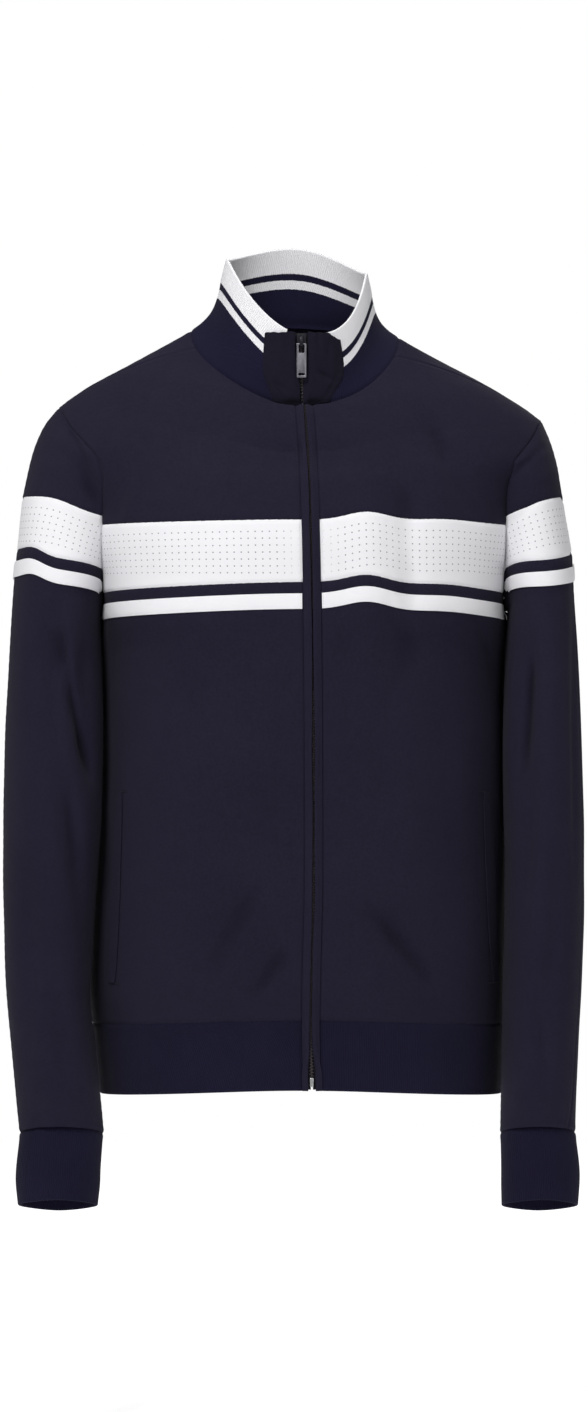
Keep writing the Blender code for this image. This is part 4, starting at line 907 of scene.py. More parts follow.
def bartack(name, cloth, start, end, finish):
    """Close stitches across a short line, where a pocket's end is made fast."""
    start, end = np.array(start, float), np.array(end, float)
    length = np.linalg.norm(end - start)
    count = max(4, round(length / TACK_PITCH))
    middles = start + (end - start) * np.linspace(0, 1, count)[:, None]
    aside = np.array([-(end - start)[1], (end - start)[0]]) / length * TACK_WIDTH / 2
    first, way = on_cloth(cloth, *(middles - aside).T)
    last, _ = on_cloth(cloth, *(middles + aside).T)
    places = (first + last) / 2 + way * TACK_OUT
    capsules(name, places, unit(last - first, 1), way, TACK_WIDTH / 2, TACK_GIRTH, finish)


def rounded(corners, radius, steps=5):
    """An outline with its corners turned into arcs."""
    corners = np.array(corners, float)
    result = []
    for before, corner, after in zip(np.roll(corners, 1, 0), corners, np.roll(corners, -1, 0)):
        a, b = (before - corner) / np.linalg.norm(before - corner), (after - corner) / np.linalg.norm(after - corner)
        half = math.acos(np.clip(a @ b, -1, 1)) / 2
        centre = corner + (a + b) / np.linalg.norm(a + b) * radius / math.sin(half)
        first, last = corner + a * radius / math.tan(half) - centre, corner + b * radius / math.tan(half) - centre
        for share in np.linspace(0, 1, steps):
            way = first * (1 - share) + last * share
            result.append(centre + way / np.linalg.norm(way) * radius)
    return result


def plate(name, loops, thick, edge, finish, place, nodes=(), body="jacket"):
    """A flat metal piece with rounded edges, from outlines of (across, up) about its place."""
    curve = bpy.data.curves.new(name, "CURVE")
    curve.dimensions, curve.fill_mode, curve.extrude = "2D", "BOTH", thick / 2 * MM
    for loop in loops:
        spline = curve.splines.new("POLY")
        spline.points.add(len(loop) - 1)
        for target, (across, up) in zip(spline.points, loop):
            target.co = (across * MM, up * MM, 0, 1)
        spline.use_cyclic_u = True
    flat = placed(name, curve)
    bpy.context.view_layer.update()
    mesh = bpy.data.meshes.new_from_object(flat.evaluated_get(bpy.context.evaluated_depsgraph_get()))
    bpy.data.objects.remove(flat, do_unlink=True)
    work = bmesh.new()
    work.from_mesh(mesh)
    bmesh.ops.remove_doubles(work, verts=work.verts, dist=0.001 * MM)
    rims = [one for one in work.edges if len(one.link_faces) == 2 and one.calc_face_angle(0) > 1.0]
    bmesh.ops.bevel(work, geom=rims, offset=edge * MM, segments=3, profile=0.5, affect="EDGES")
    for vertex in work.verts:
        across, up, out = vertex.co
        vertex.co = (across + place[0] * MM, place[1] * MM - out, up + place[2] * MM)
    bmesh.ops.recalc_face_normals(work, faces=work.faces)
    work.to_mesh(mesh)
    work.free()
    mesh.materials.clear()
    mesh.shade_smooth()
    mesh.set_sharp_from_angle(angle=math.radians(35))
    added(placed(name, mesh), finish, nodes, body)


def strap(name, path, half_width, half_thick, finish, x):
    """A band with rounded sides along a path of (y, z) places, centred on x."""
    path = np.array(path, float)
    way = unit(np.gradient(path, axis=0), 1)
    out = np.stack([way[:, 1], -way[:, 0]], 1)
    sides = STRAP_SIDES
    turns = np.linspace(0, 2 * math.pi, sides, endpoint=False)
    across = half_width * np.sign(np.cos(turns)) * np.abs(np.cos(turns)) ** 0.5
    lift = half_thick * np.sign(np.sin(turns)) * np.abs(np.sin(turns)) ** 0.7
    rings = [
        np.stack([x + across, place[0] + lift * side[0], place[1] + lift * side[1]], 1)
        for place, side in zip(path, out)
    ]
    quads = []
    for i in range(len(path) - 1):
        for k in range(sides):
            a, b = i * sides + k, i * sides + (k + 1) % sides
            quads.append((a, b, b + sides, a + sides))
    added(mesh_of(name, np.concatenate(rings), np.array(quads), sharp=60), finish)


# ---------------------------------------------------------------- materials

FOLD_SHADE = "fold"  # how deep in a fold each place of the cloth lies, from 0 to 1; it sets the knits' painted shade in their folds
CUT = "cut"  # the flat coordinates of each piece, in millimetres from its start and from its top


class Nodes:
    """Short ways to add and join a material's nodes."""

    def __init__(self, name):
        self.material = bpy.data.materials.new(name)
        self.material.use_nodes = True
        self.tree = self.material.node_tree
        self.shader = self.tree.nodes["Principled BSDF"]

    def new(self, kind):
        return self.tree.nodes.new(f"ShaderNode{kind}")

    def put(self, socket, value):
        if isinstance(value, bpy.types.NodeSocket):
            self.tree.links.new(value, socket)
        elif value is not None:
            socket.default_value = value

    def fill(self, node, values):
        for name, value in values.items():
            self.put(node.inputs[name], value)

    def math(self, operation, a, b=None, c=None):
        node = self.new("Math")
        node.operation = operation
        for socket, value in zip(node.inputs, (a, b, c)):
            self.put(socket, value)
        return node.outputs[0]

    def times(self, a, b):
        return self.math("MULTIPLY", a, b)

    def laid_over(self, value, share, base):
        """The base, with this share of the value added to it."""
        return self.math("MULTIPLY_ADD", value, share, base)

    def flat(self):
        """The cloth's own coordinates, across and down, in millimetres."""
        node = self.new("UVMap")
        node.uv_map = CUT
        parts = self.new("SeparateXYZ")
        self.put(parts.inputs[0], node.outputs[0])
        return parts.outputs[0], parts.outputs[1]

    def painted_fold_shade(self, colour, dark, share):
        """Painted shade: a colour that deepens towards the dark one in the folds."""
        node = self.new("Attribute")
        node.attribute_name = FOLD_SHADE
        return self.between(self.times(node.outputs["Fac"], share), colour, dark)

    def noise(self, scale, detail=2.0, stretch=(1, 1, 1)):
        place, spread, node = (self.new(kind) for kind in ("TexCoord", "Mapping", "TexNoise"))
        self.fill(spread, {"Scale": stretch, "Vector": place.outputs["Object"]})
        self.fill(node, {"Scale": scale, "Detail": detail, "Vector": spread.outputs[0]})
        return node.outputs[0]

    def between(self, share, low, high):
        """A colour between two others."""
        node = self.new("Mix")
        node.data_type = "RGBA"
        self.put(node.inputs[0], share)
        for socket, value in zip((node.inputs[6], node.inputs[7]), (low, high)):
            self.put(socket, (*value, 1) if isinstance(value, tuple) else value)
        return node.outputs[2]

    def span(self, value, low, high, to_low=0.0, to_high=1.0):
        """The value, with low and high turned into two other numbers."""
        node = self.new("MapRange")
        for socket, number in zip(node.inputs, (value, low, high, to_low, to_high)):
            self.put(socket, number)
        return node.outputs[0]

    def uneven(self, scale, low, high):
        """A number that drifts between two others over the cloth."""
        return self.span(self.noise(scale), 0.3, 0.7, low, high)

    def up_to(self, value, place, blur, before=1.0, after=0.0):
        """1 where the value is under this place and 0 beyond it, or the other two numbers given."""
        return self.span(value, place - blur, place + blur, before, after)

    def wave(self, value, pitch):
        return self.math("SINE", self.times(value, 2 * math.pi / pitch))

    def bump(self, height, distance, strength=1.0):
        node = self.new("Bump")
        self.fill(node, {"Distance": distance, "Strength": strength, "Height": height})
        self.put(self.shader.inputs["Normal"], node.outputs[0])

    def finish(self, colour, roughness, specular, sheen=0.02, metallic=0.0):
        self.fill(self.shader, {"Base Color": colour, "Roughness": roughness, "Specular IOR Level": specular})
        self.fill(self.shader, {"Metallic": metallic, "Sheen Weight": sheen, "Sheen Roughness": 0.6})
        return self.material


WALE, COURSE, RIB_PITCH, RIB_COURSE = 0.95, 0.7, 2.1, 0.8  # columns and rows of loops, in the knit and in the rib
KNIT_BUMP, KNIT_ROUGH = (0.00014, 0.7), (60, 0.86, 0.97)  # bump depth and strength; roughness: scale, low, high


def scaled(colour, share):
    return tuple(part * share for part in colour)


def knit_height(nodes, u, v):
    """Fine upright wales of a warp knit, with its courses across them."""
    wales = nodes.math("ABSOLUTE", nodes.wave(u, 2 * WALE))
    courses = nodes.wave(nodes.math("ADD", v, nodes.times(wales, 0.3)), COURSE)
    fuzz = nodes.noise(1400)
    return nodes.laid_over(fuzz, 0.5, nodes.laid_over(courses, 0.25, wales))


def mottled(nodes, broad, fine, fine_scale):
    """The unevenness of a cloth's colour, from these shares of broad and of fine patches."""
    patches = nodes.noise(9, 3.0)
    return nodes.laid_over(patches, broad, nodes.times(nodes.noise(fine_scale), fine))


def knit(name, dark, light):
    nodes = Nodes(name)
    height = knit_height(nodes, *nodes.flat())
    colour = nodes.between(nodes.span(mottled(nodes, 0.45, 0.55, 380), 0.34, 0.66), dark, light)
    # Painted highlight: lighter where the loops stand up, with random fuzz from the noise
    colour = nodes.between(nodes.span(height, 0.0, 1.3, 0.0, 0.5), colour, scaled(light, 1.25))
    # Painted shade: the navy darkens in the cloth's folds
    colour = nodes.painted_fold_shade(colour, scaled(dark, 0.3), 0.85)
    nodes.bump(height, *KNIT_BUMP)
    return nodes.finish(colour, nodes.uneven(*KNIT_ROUGH), 0.06)


def rib(name, dark, light, stripes=False):
    """Upright ribs with fine courses, and the collar's stripes where it has them."""
    nodes = Nodes(name)
    u, v = nodes.flat()
    ribs = nodes.math("ABSOLUTE", nodes.wave(u, 2 * RIB_PITCH))
    height = nodes.laid_over(nodes.wave(v, RIB_COURSE), 0.08, nodes.math("POWER", ribs, 0.7))
    colour = nodes.between(nodes.span(nodes.noise(12, 3.0), 0.3, 0.7), dark, light)
    # Painted shade: the grooves between the ribs are drawn darker
    colour = nodes.between(nodes.span(height, 0.0, 1.0, 0.5, 0.0), colour, scaled(dark, 0.55))
    if stripes:
        edge = nodes.laid_over(nodes.noise(500, 1.0), 0.8, v)
        top = nodes.up_to(edge, WHITE_TOP, STRIPE_BLUR)
        after = nodes.up_to(edge, NAVY_STRIPE, STRIPE_BLUR, 0.0, 1.0)
        before = nodes.up_to(edge, WHITE_STRIPE, STRIPE_BLUR)
        white = nodes.math("MAXIMUM", top, nodes.times(after, before))
        # Painted shade: the white stripes are darker in the grooves too
        pale = nodes.between(nodes.span(height, 0.0, 1.0, 1.0, 0.0), WHITE, WHITE_SHADE)
        colour = nodes.between(white, colour, pale)
    nodes.bump(height, 0.0005, 0.7)
    return nodes.finish(colour, nodes.uneven(80, 0.85, 0.97), 0.06)


def from_middle(nodes, place, pitch):
    """How far a place counted in steps of this pitch lies from the middle of its step."""
    return nodes.times(nodes.math("SUBTRACT", nodes.math("FRACT", place), 0.5), pitch)


def white_knit(name, rows=0, first=0.0, fade=0.0):
    """White knit, with rows of small punched dots where it has rows."""
    nodes = Nodes(name)
    u, v = nodes.flat()
    height = knit_height(nodes, u, v)
    colour = nodes.between(nodes.span(mottled(nodes, 0.7, 0.3, 420), 0.3, 0.7), WHITE_SHADE, WHITE)
    if rows:
        wander = nodes.laid_over(nodes.noise(60, 1.0), 0.5, v)
        row_place = nodes.math("DIVIDE", nodes.math("SUBTRACT", wander, first - DOT_PITCH_DOWN / 2), DOT_PITCH_DOWN)
        across = from_middle(nodes, nodes.math("DIVIDE", u, DOT_PITCH), DOT_PITCH)
        down = from_middle(nodes, row_place, DOT_PITCH_DOWN)
        squares = [nodes.math("POWER", part, 2.0) for part in (across, down)]
        reach = nodes.math("SQRT", nodes.math("ADD", *squares))
        dot = nodes.up_to(reach, DOT_RADIUS, DOT_BLUR)
        dot = nodes.times(dot, nodes.math("GREATER_THAN", row_place, 0.0))
        dot = nodes.times(dot, nodes.math("LESS_THAN", row_place, float(rows)))
        if fade:
            dot = nodes.times(dot, nodes.span(u, 5.0, fade, 0.15, 1.0))
        colour = nodes.between(nodes.times(dot, 0.85), colour, DOT_GREY)
        height = nodes.laid_over(dot, -3.0, height)
    # Painted shade: the white darkens in the cloth's folds
    colour = nodes.painted_fold_shade(colour, scaled(WHITE_SHADE, 0.55), 0.8)
    nodes.bump(height, *KNIT_BUMP)
    return nodes.finish(colour, nodes.uneven(*KNIT_ROUGH), 0.12)


def plain_weave(name, dark, light, pitch):
    nodes = Nodes(name)
    u, v = nodes.flat()
    threads = nodes.times(nodes.wave(u, pitch), nodes.wave(v, pitch))
    height = nodes.laid_over(nodes.noise(900), 0.5, threads)
    # Painted highlight and shade: lighter where the threads stand up and darker between them, with random tone from
    # the noise
    colour = nodes.between(nodes.span(height, -0.6, 1.1), dark, light)
    nodes.bump(height, 0.00015, 0.6)
    return nodes.finish(colour, nodes.uneven(90, 0.75, 0.95), 0.2)


def metal(name, dark, light, rough, metallic=1.0, gloss=0.5):
    nodes = Nodes(name)
    brushed = nodes.noise(700, 3.0, (1, 1, 0.12))
    colour = nodes.between(nodes.span(nodes.noise(150, 3.0), 0.35, 0.7), dark, light)
    nodes.bump(brushed, 0.00003, 0.5)
    return nodes.finish(colour, nodes.span(brushed, 0.3, 0.7, *rough), gloss, 0.0, metallic)


WHITE, WHITE_SHADE, DOT_GREY = (0.805, 0.80, 0.825), (0.775, 0.77, 0.795), (0.15, 0.15, 0.17)
WHITE_TOP, NAVY_STRIPE, WHITE_STRIPE = 23.5, 29.8, 38.0  # where each of the collar's stripes ends, from its edge
DOT_PITCH, DOT_PITCH_DOWN, DOT_RADIUS = 6.4, 6.2, 0.62
STRIPE_BLUR, DOT_BLUR = 0.3, 0.15  # half the width of their soft edges

KNIT_NAVY = knit("knit_navy", (0.0079, 0.0069, 0.0158), (0.0138, 0.0122, 0.0254))
KNIT_END = knit("knit_navy_end", (0.0060, 0.0053, 0.0112), (0.0090, 0.0080, 0.0162))
RIB_NAVY = rib("rib_navy", (0.0078, 0.0070, 0.0205), (0.0104, 0.0095, 0.0265))
RIB_COLLAR = rib("rib_collar", (0.0086, 0.0078, 0.0240), (0.0112, 0.0101, 0.0300), stripes=True)
WHITE_CHEST = white_knit("knit_white_chest", 7, 11.0, 22.0)
WHITE_SLEEVE = white_knit("knit_white_sleeve", 6, 10.8)
WHITE_TAPE = white_knit("knit_white_tape")
ZIP_CLOTH = plain_weave("zip_cloth", (0.007, 0.007, 0.012), (0.011, 0.011, 0.018), 0.8)
ZIP_COIL = plain_weave("zip_coil", (0.040, 0.033, 0.034), (0.075, 0.064, 0.065), 0.5)
THREAD_NAVY = plain_weave("thread_navy", (0.008, 0.0075, 0.015), (0.014, 0.013, 0.025), 0.4)
THREAD_WHITE = plain_weave("thread_white", (0.58, 0.58, 0.60), (0.68, 0.68, 0.70), 0.4)
METAL_SLIDER = metal("metal_slider", (0.004, 0.004, 0.008), (0.008, 0.008, 0.013), (0.42, 0.55), 0.0, 0.25)
METAL_PULL = metal("metal_pull", (0.22, 0.215, 0.245), (0.29, 0.285, 0.32), (0.34, 0.46))
METAL_BOX = metal("metal_box", (0.62, 0.62, 0.63), (0.74, 0.74, 0.75), (0.24, 0.34))


# ---------------------------------------------------------------- creases

# Small creases, as the folds above: x0, z0, x1, z1, half-width and depth, seen from the front.
BODY_FRONT_CREASES = (
    (-129, -80, -156, -150, 5, 1.4), (-102, -90, -126, -155, 6, 1.1), (-153, -120, -167, -172, 4, 1.1),
    (-148, -108, -158, -140, 3, 0.8), (119, -95, 156, -162, 4.5, 1.5), (166, -138, 183, -172, 3, 1.1),
    (117, -70, 127, -118, 7, 0.9), (163, -256, 181, -330, 4, 1.7), (-168, -262, -172, -350, 5, 1.1),
    (-48, -545, -84, -596, 4, 1.1), (-18, -560, -50, -606, 4, 1.1), (60, -518, 135, -612, 5, 1.7),
    (-105, -300, -80, -410, 12, 1.0), (-60, -280, -85, -380, 10, -1.0), (85, -300, 70, -440, 11, 1.1),
    (125, -330, 140, -470, 9, 1.0), (-120, -590, -60, -622, 6, 1.0), (100, -600, 150, -622, 6, 1.0),
    (22, -60, 60, -74, 3, 0.6), (-20, -62, -60, -62, 3, 0.6),
)
BODY_BACK_CREASES = (
    (-70, -180, -95, -330, 7, 2.4), (60, -200, 90, -360, 8, 2.2), (-30, -480, -80, -590, 7, 2.4),
    (40, -500, 95, -600, 8, 2.2), (-150, -120, -166, -190, 4, 2.0), (150, -118, 166, -188, 4, 2.0),
    (-60, -40, 60, -48, 7, 1.5), (-160, -270, -130, -380, 6, 2.0), (160, -280, 128, -395, 6, 1.9),
    (-10, -350, -25, -500, 12, -2.0), (-140, -540, -90, -612, 6, 1.9), (130, -560, 80, -618, 6, 1.7),
)
SLEEVE_FRONT_CREASES = {
    RIGHT: (
        (-220, -238, -214, -300, 5, 4.5), (-215, -275, -204, -348, 5.5, 6.0), (-206, -318, -184, -402, 6, 7.5),
        (-194, -270, -188, -410, 11, 5.5), (-231, -255, -214, -395, 7, 4.6), (-210, -395, -195, -530, 8, 5.5),
        (-243, -490, -246, -670, 10, 3.4), (-219, -575, -210, -690, 9, 4.0), (-212, -82, -182, -146, 4.5, 4.6),
        (-208, -112, -184, -158, 4, 3.8), (-232, -695, -238, -724, 5, 1.6),
    ),
    LEFT: (
        (191, -118, 211, -92, 3.6, 3.2), (191, -130, 222, -100, 4, 3.2), (194, -170, 212, -150, 4, 2.2),
        (208, -280, 195, -400, 7, 4.6), (250, -225, 247, -480, 3.6, 3.2), (203, -270, 199, -430, 11, 6.0),
        (207, -405, 197, -530, 8, 5.5), (233, -470, 226, -600, 9, 3.4), (212, -600, 222, -690, 8, 3.6),
        (226, -255, 232, -330, 8, -1.6),
    ),
}
SLEEVE_BACK_CREASES = {
    RIGHT: (
        (-246, -395, -214, -438, 4, 1.8), (-248, -424, -218, -470, 4, 1.5), (-236, -350, -208, -398, 5, 1.6),
        (-228, -500, -240, -610, 7, 1.2), (-206, -100, -190, -160, 4, 1.2), (-232, -260, -222, -340, 6, 1.3),
    ),
    LEFT: (
        (242, -390, 208, -432, 4, 1.8), (244, -418, 214, -464, 4, 1.5), (232, -345, 205, -392, 5, 1.6),
        (222, -500, 236, -610, 7, 1.2), (206, -100, 192, -160, 4, 1.2), (228, -258, 218, -338, 6, 1.3),
    ),
}
COLLAR_CREASES = (
    (16, -34, 30, -42, 2.0, 1.4), (38, -35, 29, -50, 2.2, 1.6), (-32, -44, -17, -56, 2.4, 1.6),
    (-24, -44, -12, -50, 2.0, 0.9), (27, -4, 24, -24, 2.4, 0.8), (15, -3, 19, -20, 2.2, 0.7),
    (-12, -2, -9, -22, 2.2, 0.9), (-24, -2, -22, -26, 2.4, 0.8), (-17, -8, -17, -30, 2.2, -0.5),
)
# The body's side is fuller behind the sleeve: how much, at what level and depth, how tall and deep, and its top.
UNDERARM_SWELL, SWELL_LEVEL, SWELL_DEPTH = {RIGHT: 4.4, LEFT: 7.2}, -264.0, 16.0
SWELL_TALL, SWELL_DEEP, SWELL_TOP, SWELL_FADE = 27, 24, -245.5, 6
# The collar's ends stand this far up inside their edges, pucker along the zip, and lie a little lower all over.
END_RISE, END_LOWEST, END_SUNK = 1.5, -0.1, 0.3
END_PUCKER, END_PUCKER_STEP, END_PUCKER_REACH = 0.6, 6.5, 5


def creased(front, back, window=3.5, edges="e"):
    """How far these creases lift the cloth, dying away this near to the named edges."""

    def form(points, normals, near):
        x, _, z = points
        rise = -fold_depth(x, z, front) * ease(-normals[1], 0.1, 0.5)
        rise = rise - fold_depth(x, z, back) * ease(normals[1], 0.1, 0.5)
        for edge in edges:
            rise = rise * (1 - np.exp(-((near[edge] / window) ** 2)))
        return rise

    return form


def body_form(edges):
    small = creased(BODY_FRONT_CREASES, BODY_BACK_CREASES, 5.0, edges)

    def form(points, normals, near):
        x, y, z = points
        side = ease(np.abs(normals[0]), 0.6, 0.95) * np.where(x > 0, UNDERARM_SWELL[LEFT], UNDERARM_SWELL[RIGHT])
        level = np.exp(-(((z - SWELL_LEVEL) / SWELL_TALL) ** 2)) * ease(SWELL_TOP - z, 0, SWELL_FADE)
        return small(points, normals, near) + side * level * np.exp(-(((y - SWELL_DEPTH) / SWELL_DEEP) ** 2))

    return form


def collar_end_form(points, normals, near):
    x, _, z = points
    wave = np.sin(2 * np.pi * near["s"] / END_PUCKER_STEP + 0.8)
    pucker = END_PUCKER * wave * np.exp(-near["t"] / END_PUCKER_REACH)
    raised = END_RISE * ease(near["e"], 5, 12) * ease(near["s"], 0, 5) * ease(near["f"], 1, 7)
    return np.maximum(raised - fold_depth(x, z, COLLAR_CREASES) + pucker, END_LOWEST) - END_SUNK


# ---------------------------------------------------------------- the pieces of cloth

SHOULDER_LEVELS = (-68.5, -68.7, -69.2, -70, -71, -72.3, -74, -76.5, -80)
LAID_ACROSS = (0.004, 0.985)  # the part of a panel's width that the tape laid on it covers
SLEEVE_TAPE_LIFT = 0.4  # how much further than the front's it stands off the sleeve
RIB_ROLL, SLIGHT_ROLL = 1.3, 0.35  # how deep the ribs' seams and the tapes' edges roll in, as shares of a panel's
SLEEVE_MIDDLE, CUFF_MIDDLE = (224, -25), (220, -48)  # a place inside each, seen from above: x on its side, and y
FINE_STEP = 3.0  # between the rows of the smaller pieces; the panels' are further apart
PLACKET_SHELL, END_FOLD_SHADE_FULL = 0.7, 0.7  # the placket's thickness, and how deep a fold in a collar end gets the darkest painted shade


def sleeve_level(meets, side):
    """The sleeve's level at the row that ends at this level of the armhole."""
    ends = column(SLEEVE[side], SLEEVE_COLUMNS, "meets")
    return float(smooth(ends, column(SLEEVE[side], SLEEVE_COLUMNS, "level"), meets))


def beside(side, middle):
    """A place given for either side, on this one."""
    return side * middle[0], middle[1]


def make_body():
    kept = (UNDERARM,) + SHOULDER_LEVELS
    for side, name in SIDE_NAMES.items():
        surface, form = front_surface(side), body_form("e")
        for part, levels, finish in (
            ("upper", (BAND_TOP, NECK), KNIT_NAVY),
            ("band", (BAND_FOOT, BAND_TOP), WHITE_CHEST),
            ("lower", (HEM_SEAM, BAND_FOOT), KNIT_NAVY),
        ):
            Shell(f"front_{part}_{name}", surface, levels, finish, keep=kept, form=form)
        Shell(f"front_tape_{name}", surface, (TAPE_FOOT, TAPE_TOP), WHITE_TAPE, LAID_ACROSS, thick=TAPE_SHELL,
              raised=LAID_ON, roll=SLIGHT_ROLL, form=form)
    Shell("back", back_surface, (HEM_SEAM, NECK), KNIT_NAVY, keep=kept, form=body_form("se"))


def make_sleeves():
    top, foot = SLEEVE_BAND
    for side, name in SIDE_NAMES.items():
        tape = tuple(sleeve_level(level, side) for level in SLEEVE_TAPE_MEETS[::-1])
        form = creased(SLEEVE_FRONT_CREASES[side], SLEEVE_BACK_CREASES[side])
        inside = beside(side, SLEEVE_MIDDLE)
        for face, front in (("front", True), ("back", False)):
            surface, node = sleeve_surface(side, front), f"sleeve_{name}_{face}"
            for part, levels, finish in (
                ("cap", (top, SHOULDER_POINT), KNIT_NAVY),
                ("band", (foot, top), WHITE_SLEEVE),
                ("lower", (SLEEVE_END, foot), KNIT_NAVY),
            ):
                Shell(f"{node}_{part}", surface, levels, finish, inside=inside, step=FINE_STEP,
                      keep=SHOULDER_LEVELS[1:], form=form)
            Shell(f"{node}_tape", surface, tape, WHITE_TAPE, LAID_ACROSS, inside=inside, thick=TAPE_SHELL,
                  raised=LAID_ON + SLEEVE_TAPE_LIFT, step=FINE_STEP, roll=SLIGHT_ROLL, form=form)
        Shell(f"cuff_{name}", cuff_surface(side), (CUFF_EDGE, SLEEVE_END), RIB_NAVY, inside=beside(side, CUFF_MIDDLE),
              thick=RIB_SHELL, closed=True, sewn="t", folded="f", step=FINE_STEP, roll=RIB_ROLL)


def make_ribs_and_collar():
    Shell("hem_rib", hem_surface, (HEM_EDGE, HEM_SEAM), RIB_NAVY, thick=RIB_SHELL, sewn="tse", folded="f",
          roll=RIB_ROLL)
    Shell("collar_rib", collar_surface, (0, 1), RIB_COLLAR, thick=RIB_SHELL, sewn="f", folded="t", step=FINE_STEP)
    for side, name in SIDE_NAMES.items():
        Shell(f"collar_end_{name}", collar_end_surface(side), (0, 1), KNIT_END, raised=LAID_ON, sewn="fe",
              folded="st", step=1.6, form=collar_end_form, fold_shade_full=END_FOLD_SHADE_FULL)


def make_welts():
    for side, name in SIDE_NAMES.items():
        Shell(f"pocket_welt_{name}", welt_surface(side), (WELT_FOOT, WELT_TOP), KNIT_NAVY, raised=2 * LAID_ON,
              sewn="", folded="ftse", step=2.0)


FOLD_RADIUS, TURNED_UNDER = 0.55, 3.2  # the placket's folded edge, and how far it returns under itself
PLACKET_BASE, SLIT_WAVER = 0.75, 0.25  # how far out its sewn edge lies, and how unevenly the slit runs


def off_zip(height, across, out):
    """Places this far across from the zip's line, and this far out of the front's surface."""
    x, y, out_y, out_z = zip_place(height)
    return np.stack([x + across, y + out_y * out, height + out_z * out])


def folded_placket(side):
    """The placket from its sewn edge to its fold over the chain, and back under itself."""

    def point(height, along):
        slit = SLIT + (SLIT_AT_FOOT - SLIT) * (1 - ease(height, *SLIT_OPENS))
        slit = slit + SLIT_WAVER * np.sin(height / 17) * np.sin(height / 41 + side)
        flat = PLACKET - SEAM - slit - FOLD_RADIUS
        turn = np.clip((along - flat) / FOLD_RADIUS, 0, math.pi)
        under = np.maximum(along - flat - math.pi * FOLD_RADIUS, 0)
        offset = slit + FOLD_RADIUS - FOLD_RADIUS * np.sin(turn) + np.maximum(flat - along, 0) + under
        rise = PLACKET_RISE * ease(1 - np.clip(offset / PLACKET, 0, 1), 0, 0.8) + PLACKET_BASE
        return off_zip(height, side * offset, rise - FOLD_RADIUS + FOLD_RADIUS * np.cos(turn))

    return point


def front_height(level):
    """The height on the zip's line of the body's ring of this level."""
    return float(torso(np.asarray(level), centre_angle(level, 0))[2])


def zip_ends():
    return front_height(HEM_EDGE), front_height(NECK) - PLACKET_SHORT


def make_plackets():
    full = PLACKET - SEAM - SLIT - FOLD_RADIUS + math.pi * FOLD_RADIUS + TURNED_UNDER
    for side, name in SIDE_NAMES.items():
        Shell(f"placket_{name}", folded_placket(side), zip_ends(), KNIT_NAVY, (0, full), thick=PLACKET_SHELL,
              sewn="s", folded="ft", step=FINE_STEP, roll=SLIGHT_ROLL)


# ---------------------------------------------------------------- the zip

TEETH_PITCH, TOOTH_HALF, TOOTH_GIRTH, TOOTH_OFF = 1.45, 1.55, (0.56, 0.72), 0.55
TEETH_OUT, TOOTH_SLANT = 0.75, 0.12  # how far in front of the tape they lie, and how steeply each one climbs
TAPE_WEAVE, TAPE_INNER = 0.6, 0.9  # thickness of the woven tape, and how near the line each half reaches
TAPE_SEWN_IN, TAPE_DIPS = 11.2, 0.9  # it runs on behind the placket's seam, where it lies this much deeper


def zip_tape_surface(side):
    def point(height, across):
        offset = TAPE_INNER + (TAPE_SEWN_IN - TAPE_INNER) * across
        back = -TAPE_DEPTH - 0.5 * TAPE_WEAVE - TAPE_DIPS * ease(across, 0.4, 0.75)
        return off_zip(height, side * offset, back)

    return point


def make_zip_tape():
    ends = (zip_ends()[0] + 1.0, COLLAR_END_TOP - 1)
    for side, name in SIDE_NAMES.items():
        solids = ["zip_tape"] if side == RIGHT else []
        Shell(f"zip_tape_{name}", zip_tape_surface(side), ends, ZIP_CLOTH, nodes=solids, thick=TAPE_WEAVE, sewn="",
              folded="ftse", step=FINE_STEP)


def make_teeth():
    heights = np.arange(CHAIN_FOOT, SLIDER_MIDDLE, TEETH_PITCH)
    _, _, out_y, out_z = zip_place(heights)
    outward = np.stack([np.zeros(heights.shape), out_y, out_z], 1)
    sides = np.where(np.arange(len(heights)) % 2, 1.0, -1.0)
    centres = off_zip(heights, sides * TOOTH_OFF, -TAPE_DEPTH + TEETH_OUT).T
    along = np.tile([1.0, 0.0, 0.0], (len(heights), 1))
    along[:, 2] = TOOTH_SLANT * sides
    capsules("zip_teeth", centres, unit(along, 1), outward, TOOTH_HALF, TOOTH_GIRTH, ZIP_COIL)


# For each metal piece, the radius that its corners are turned with, and how far its edges are rounded.
SLIDER_NOSE, SLIDER_ROUND, SLIDER_EDGE = (0.9, 1.0), 1.6, 0.32  # its foot's corners are cut this far in and up
FLANGE_HALF, FLANGE_SHORT, FLANGE_ROUND, FLANGE_EDGE = 0.75, (1.2, 0.6), 0.5, 0.25  # short at its top and foot
FLANGE_IN, FLANGE_GAP = 0.8, 0.3  # from the slider's side to the flange's middle, and off the plate's back
PULL_ROUND, WINDOW_ROUND, SLOT_ROUND, PULL_EDGE = 1.1, 0.7, 0.8, 0.22
BOX_IN, BOX_TAPER, BOX_ROUND, BOX_EDGE = 0.5, 0.7, 1.3, 0.6


def rectangle(half, top, foot, radius):
    return rounded(((-half, top), (half, top), (half, foot), (-half, foot)), radius)


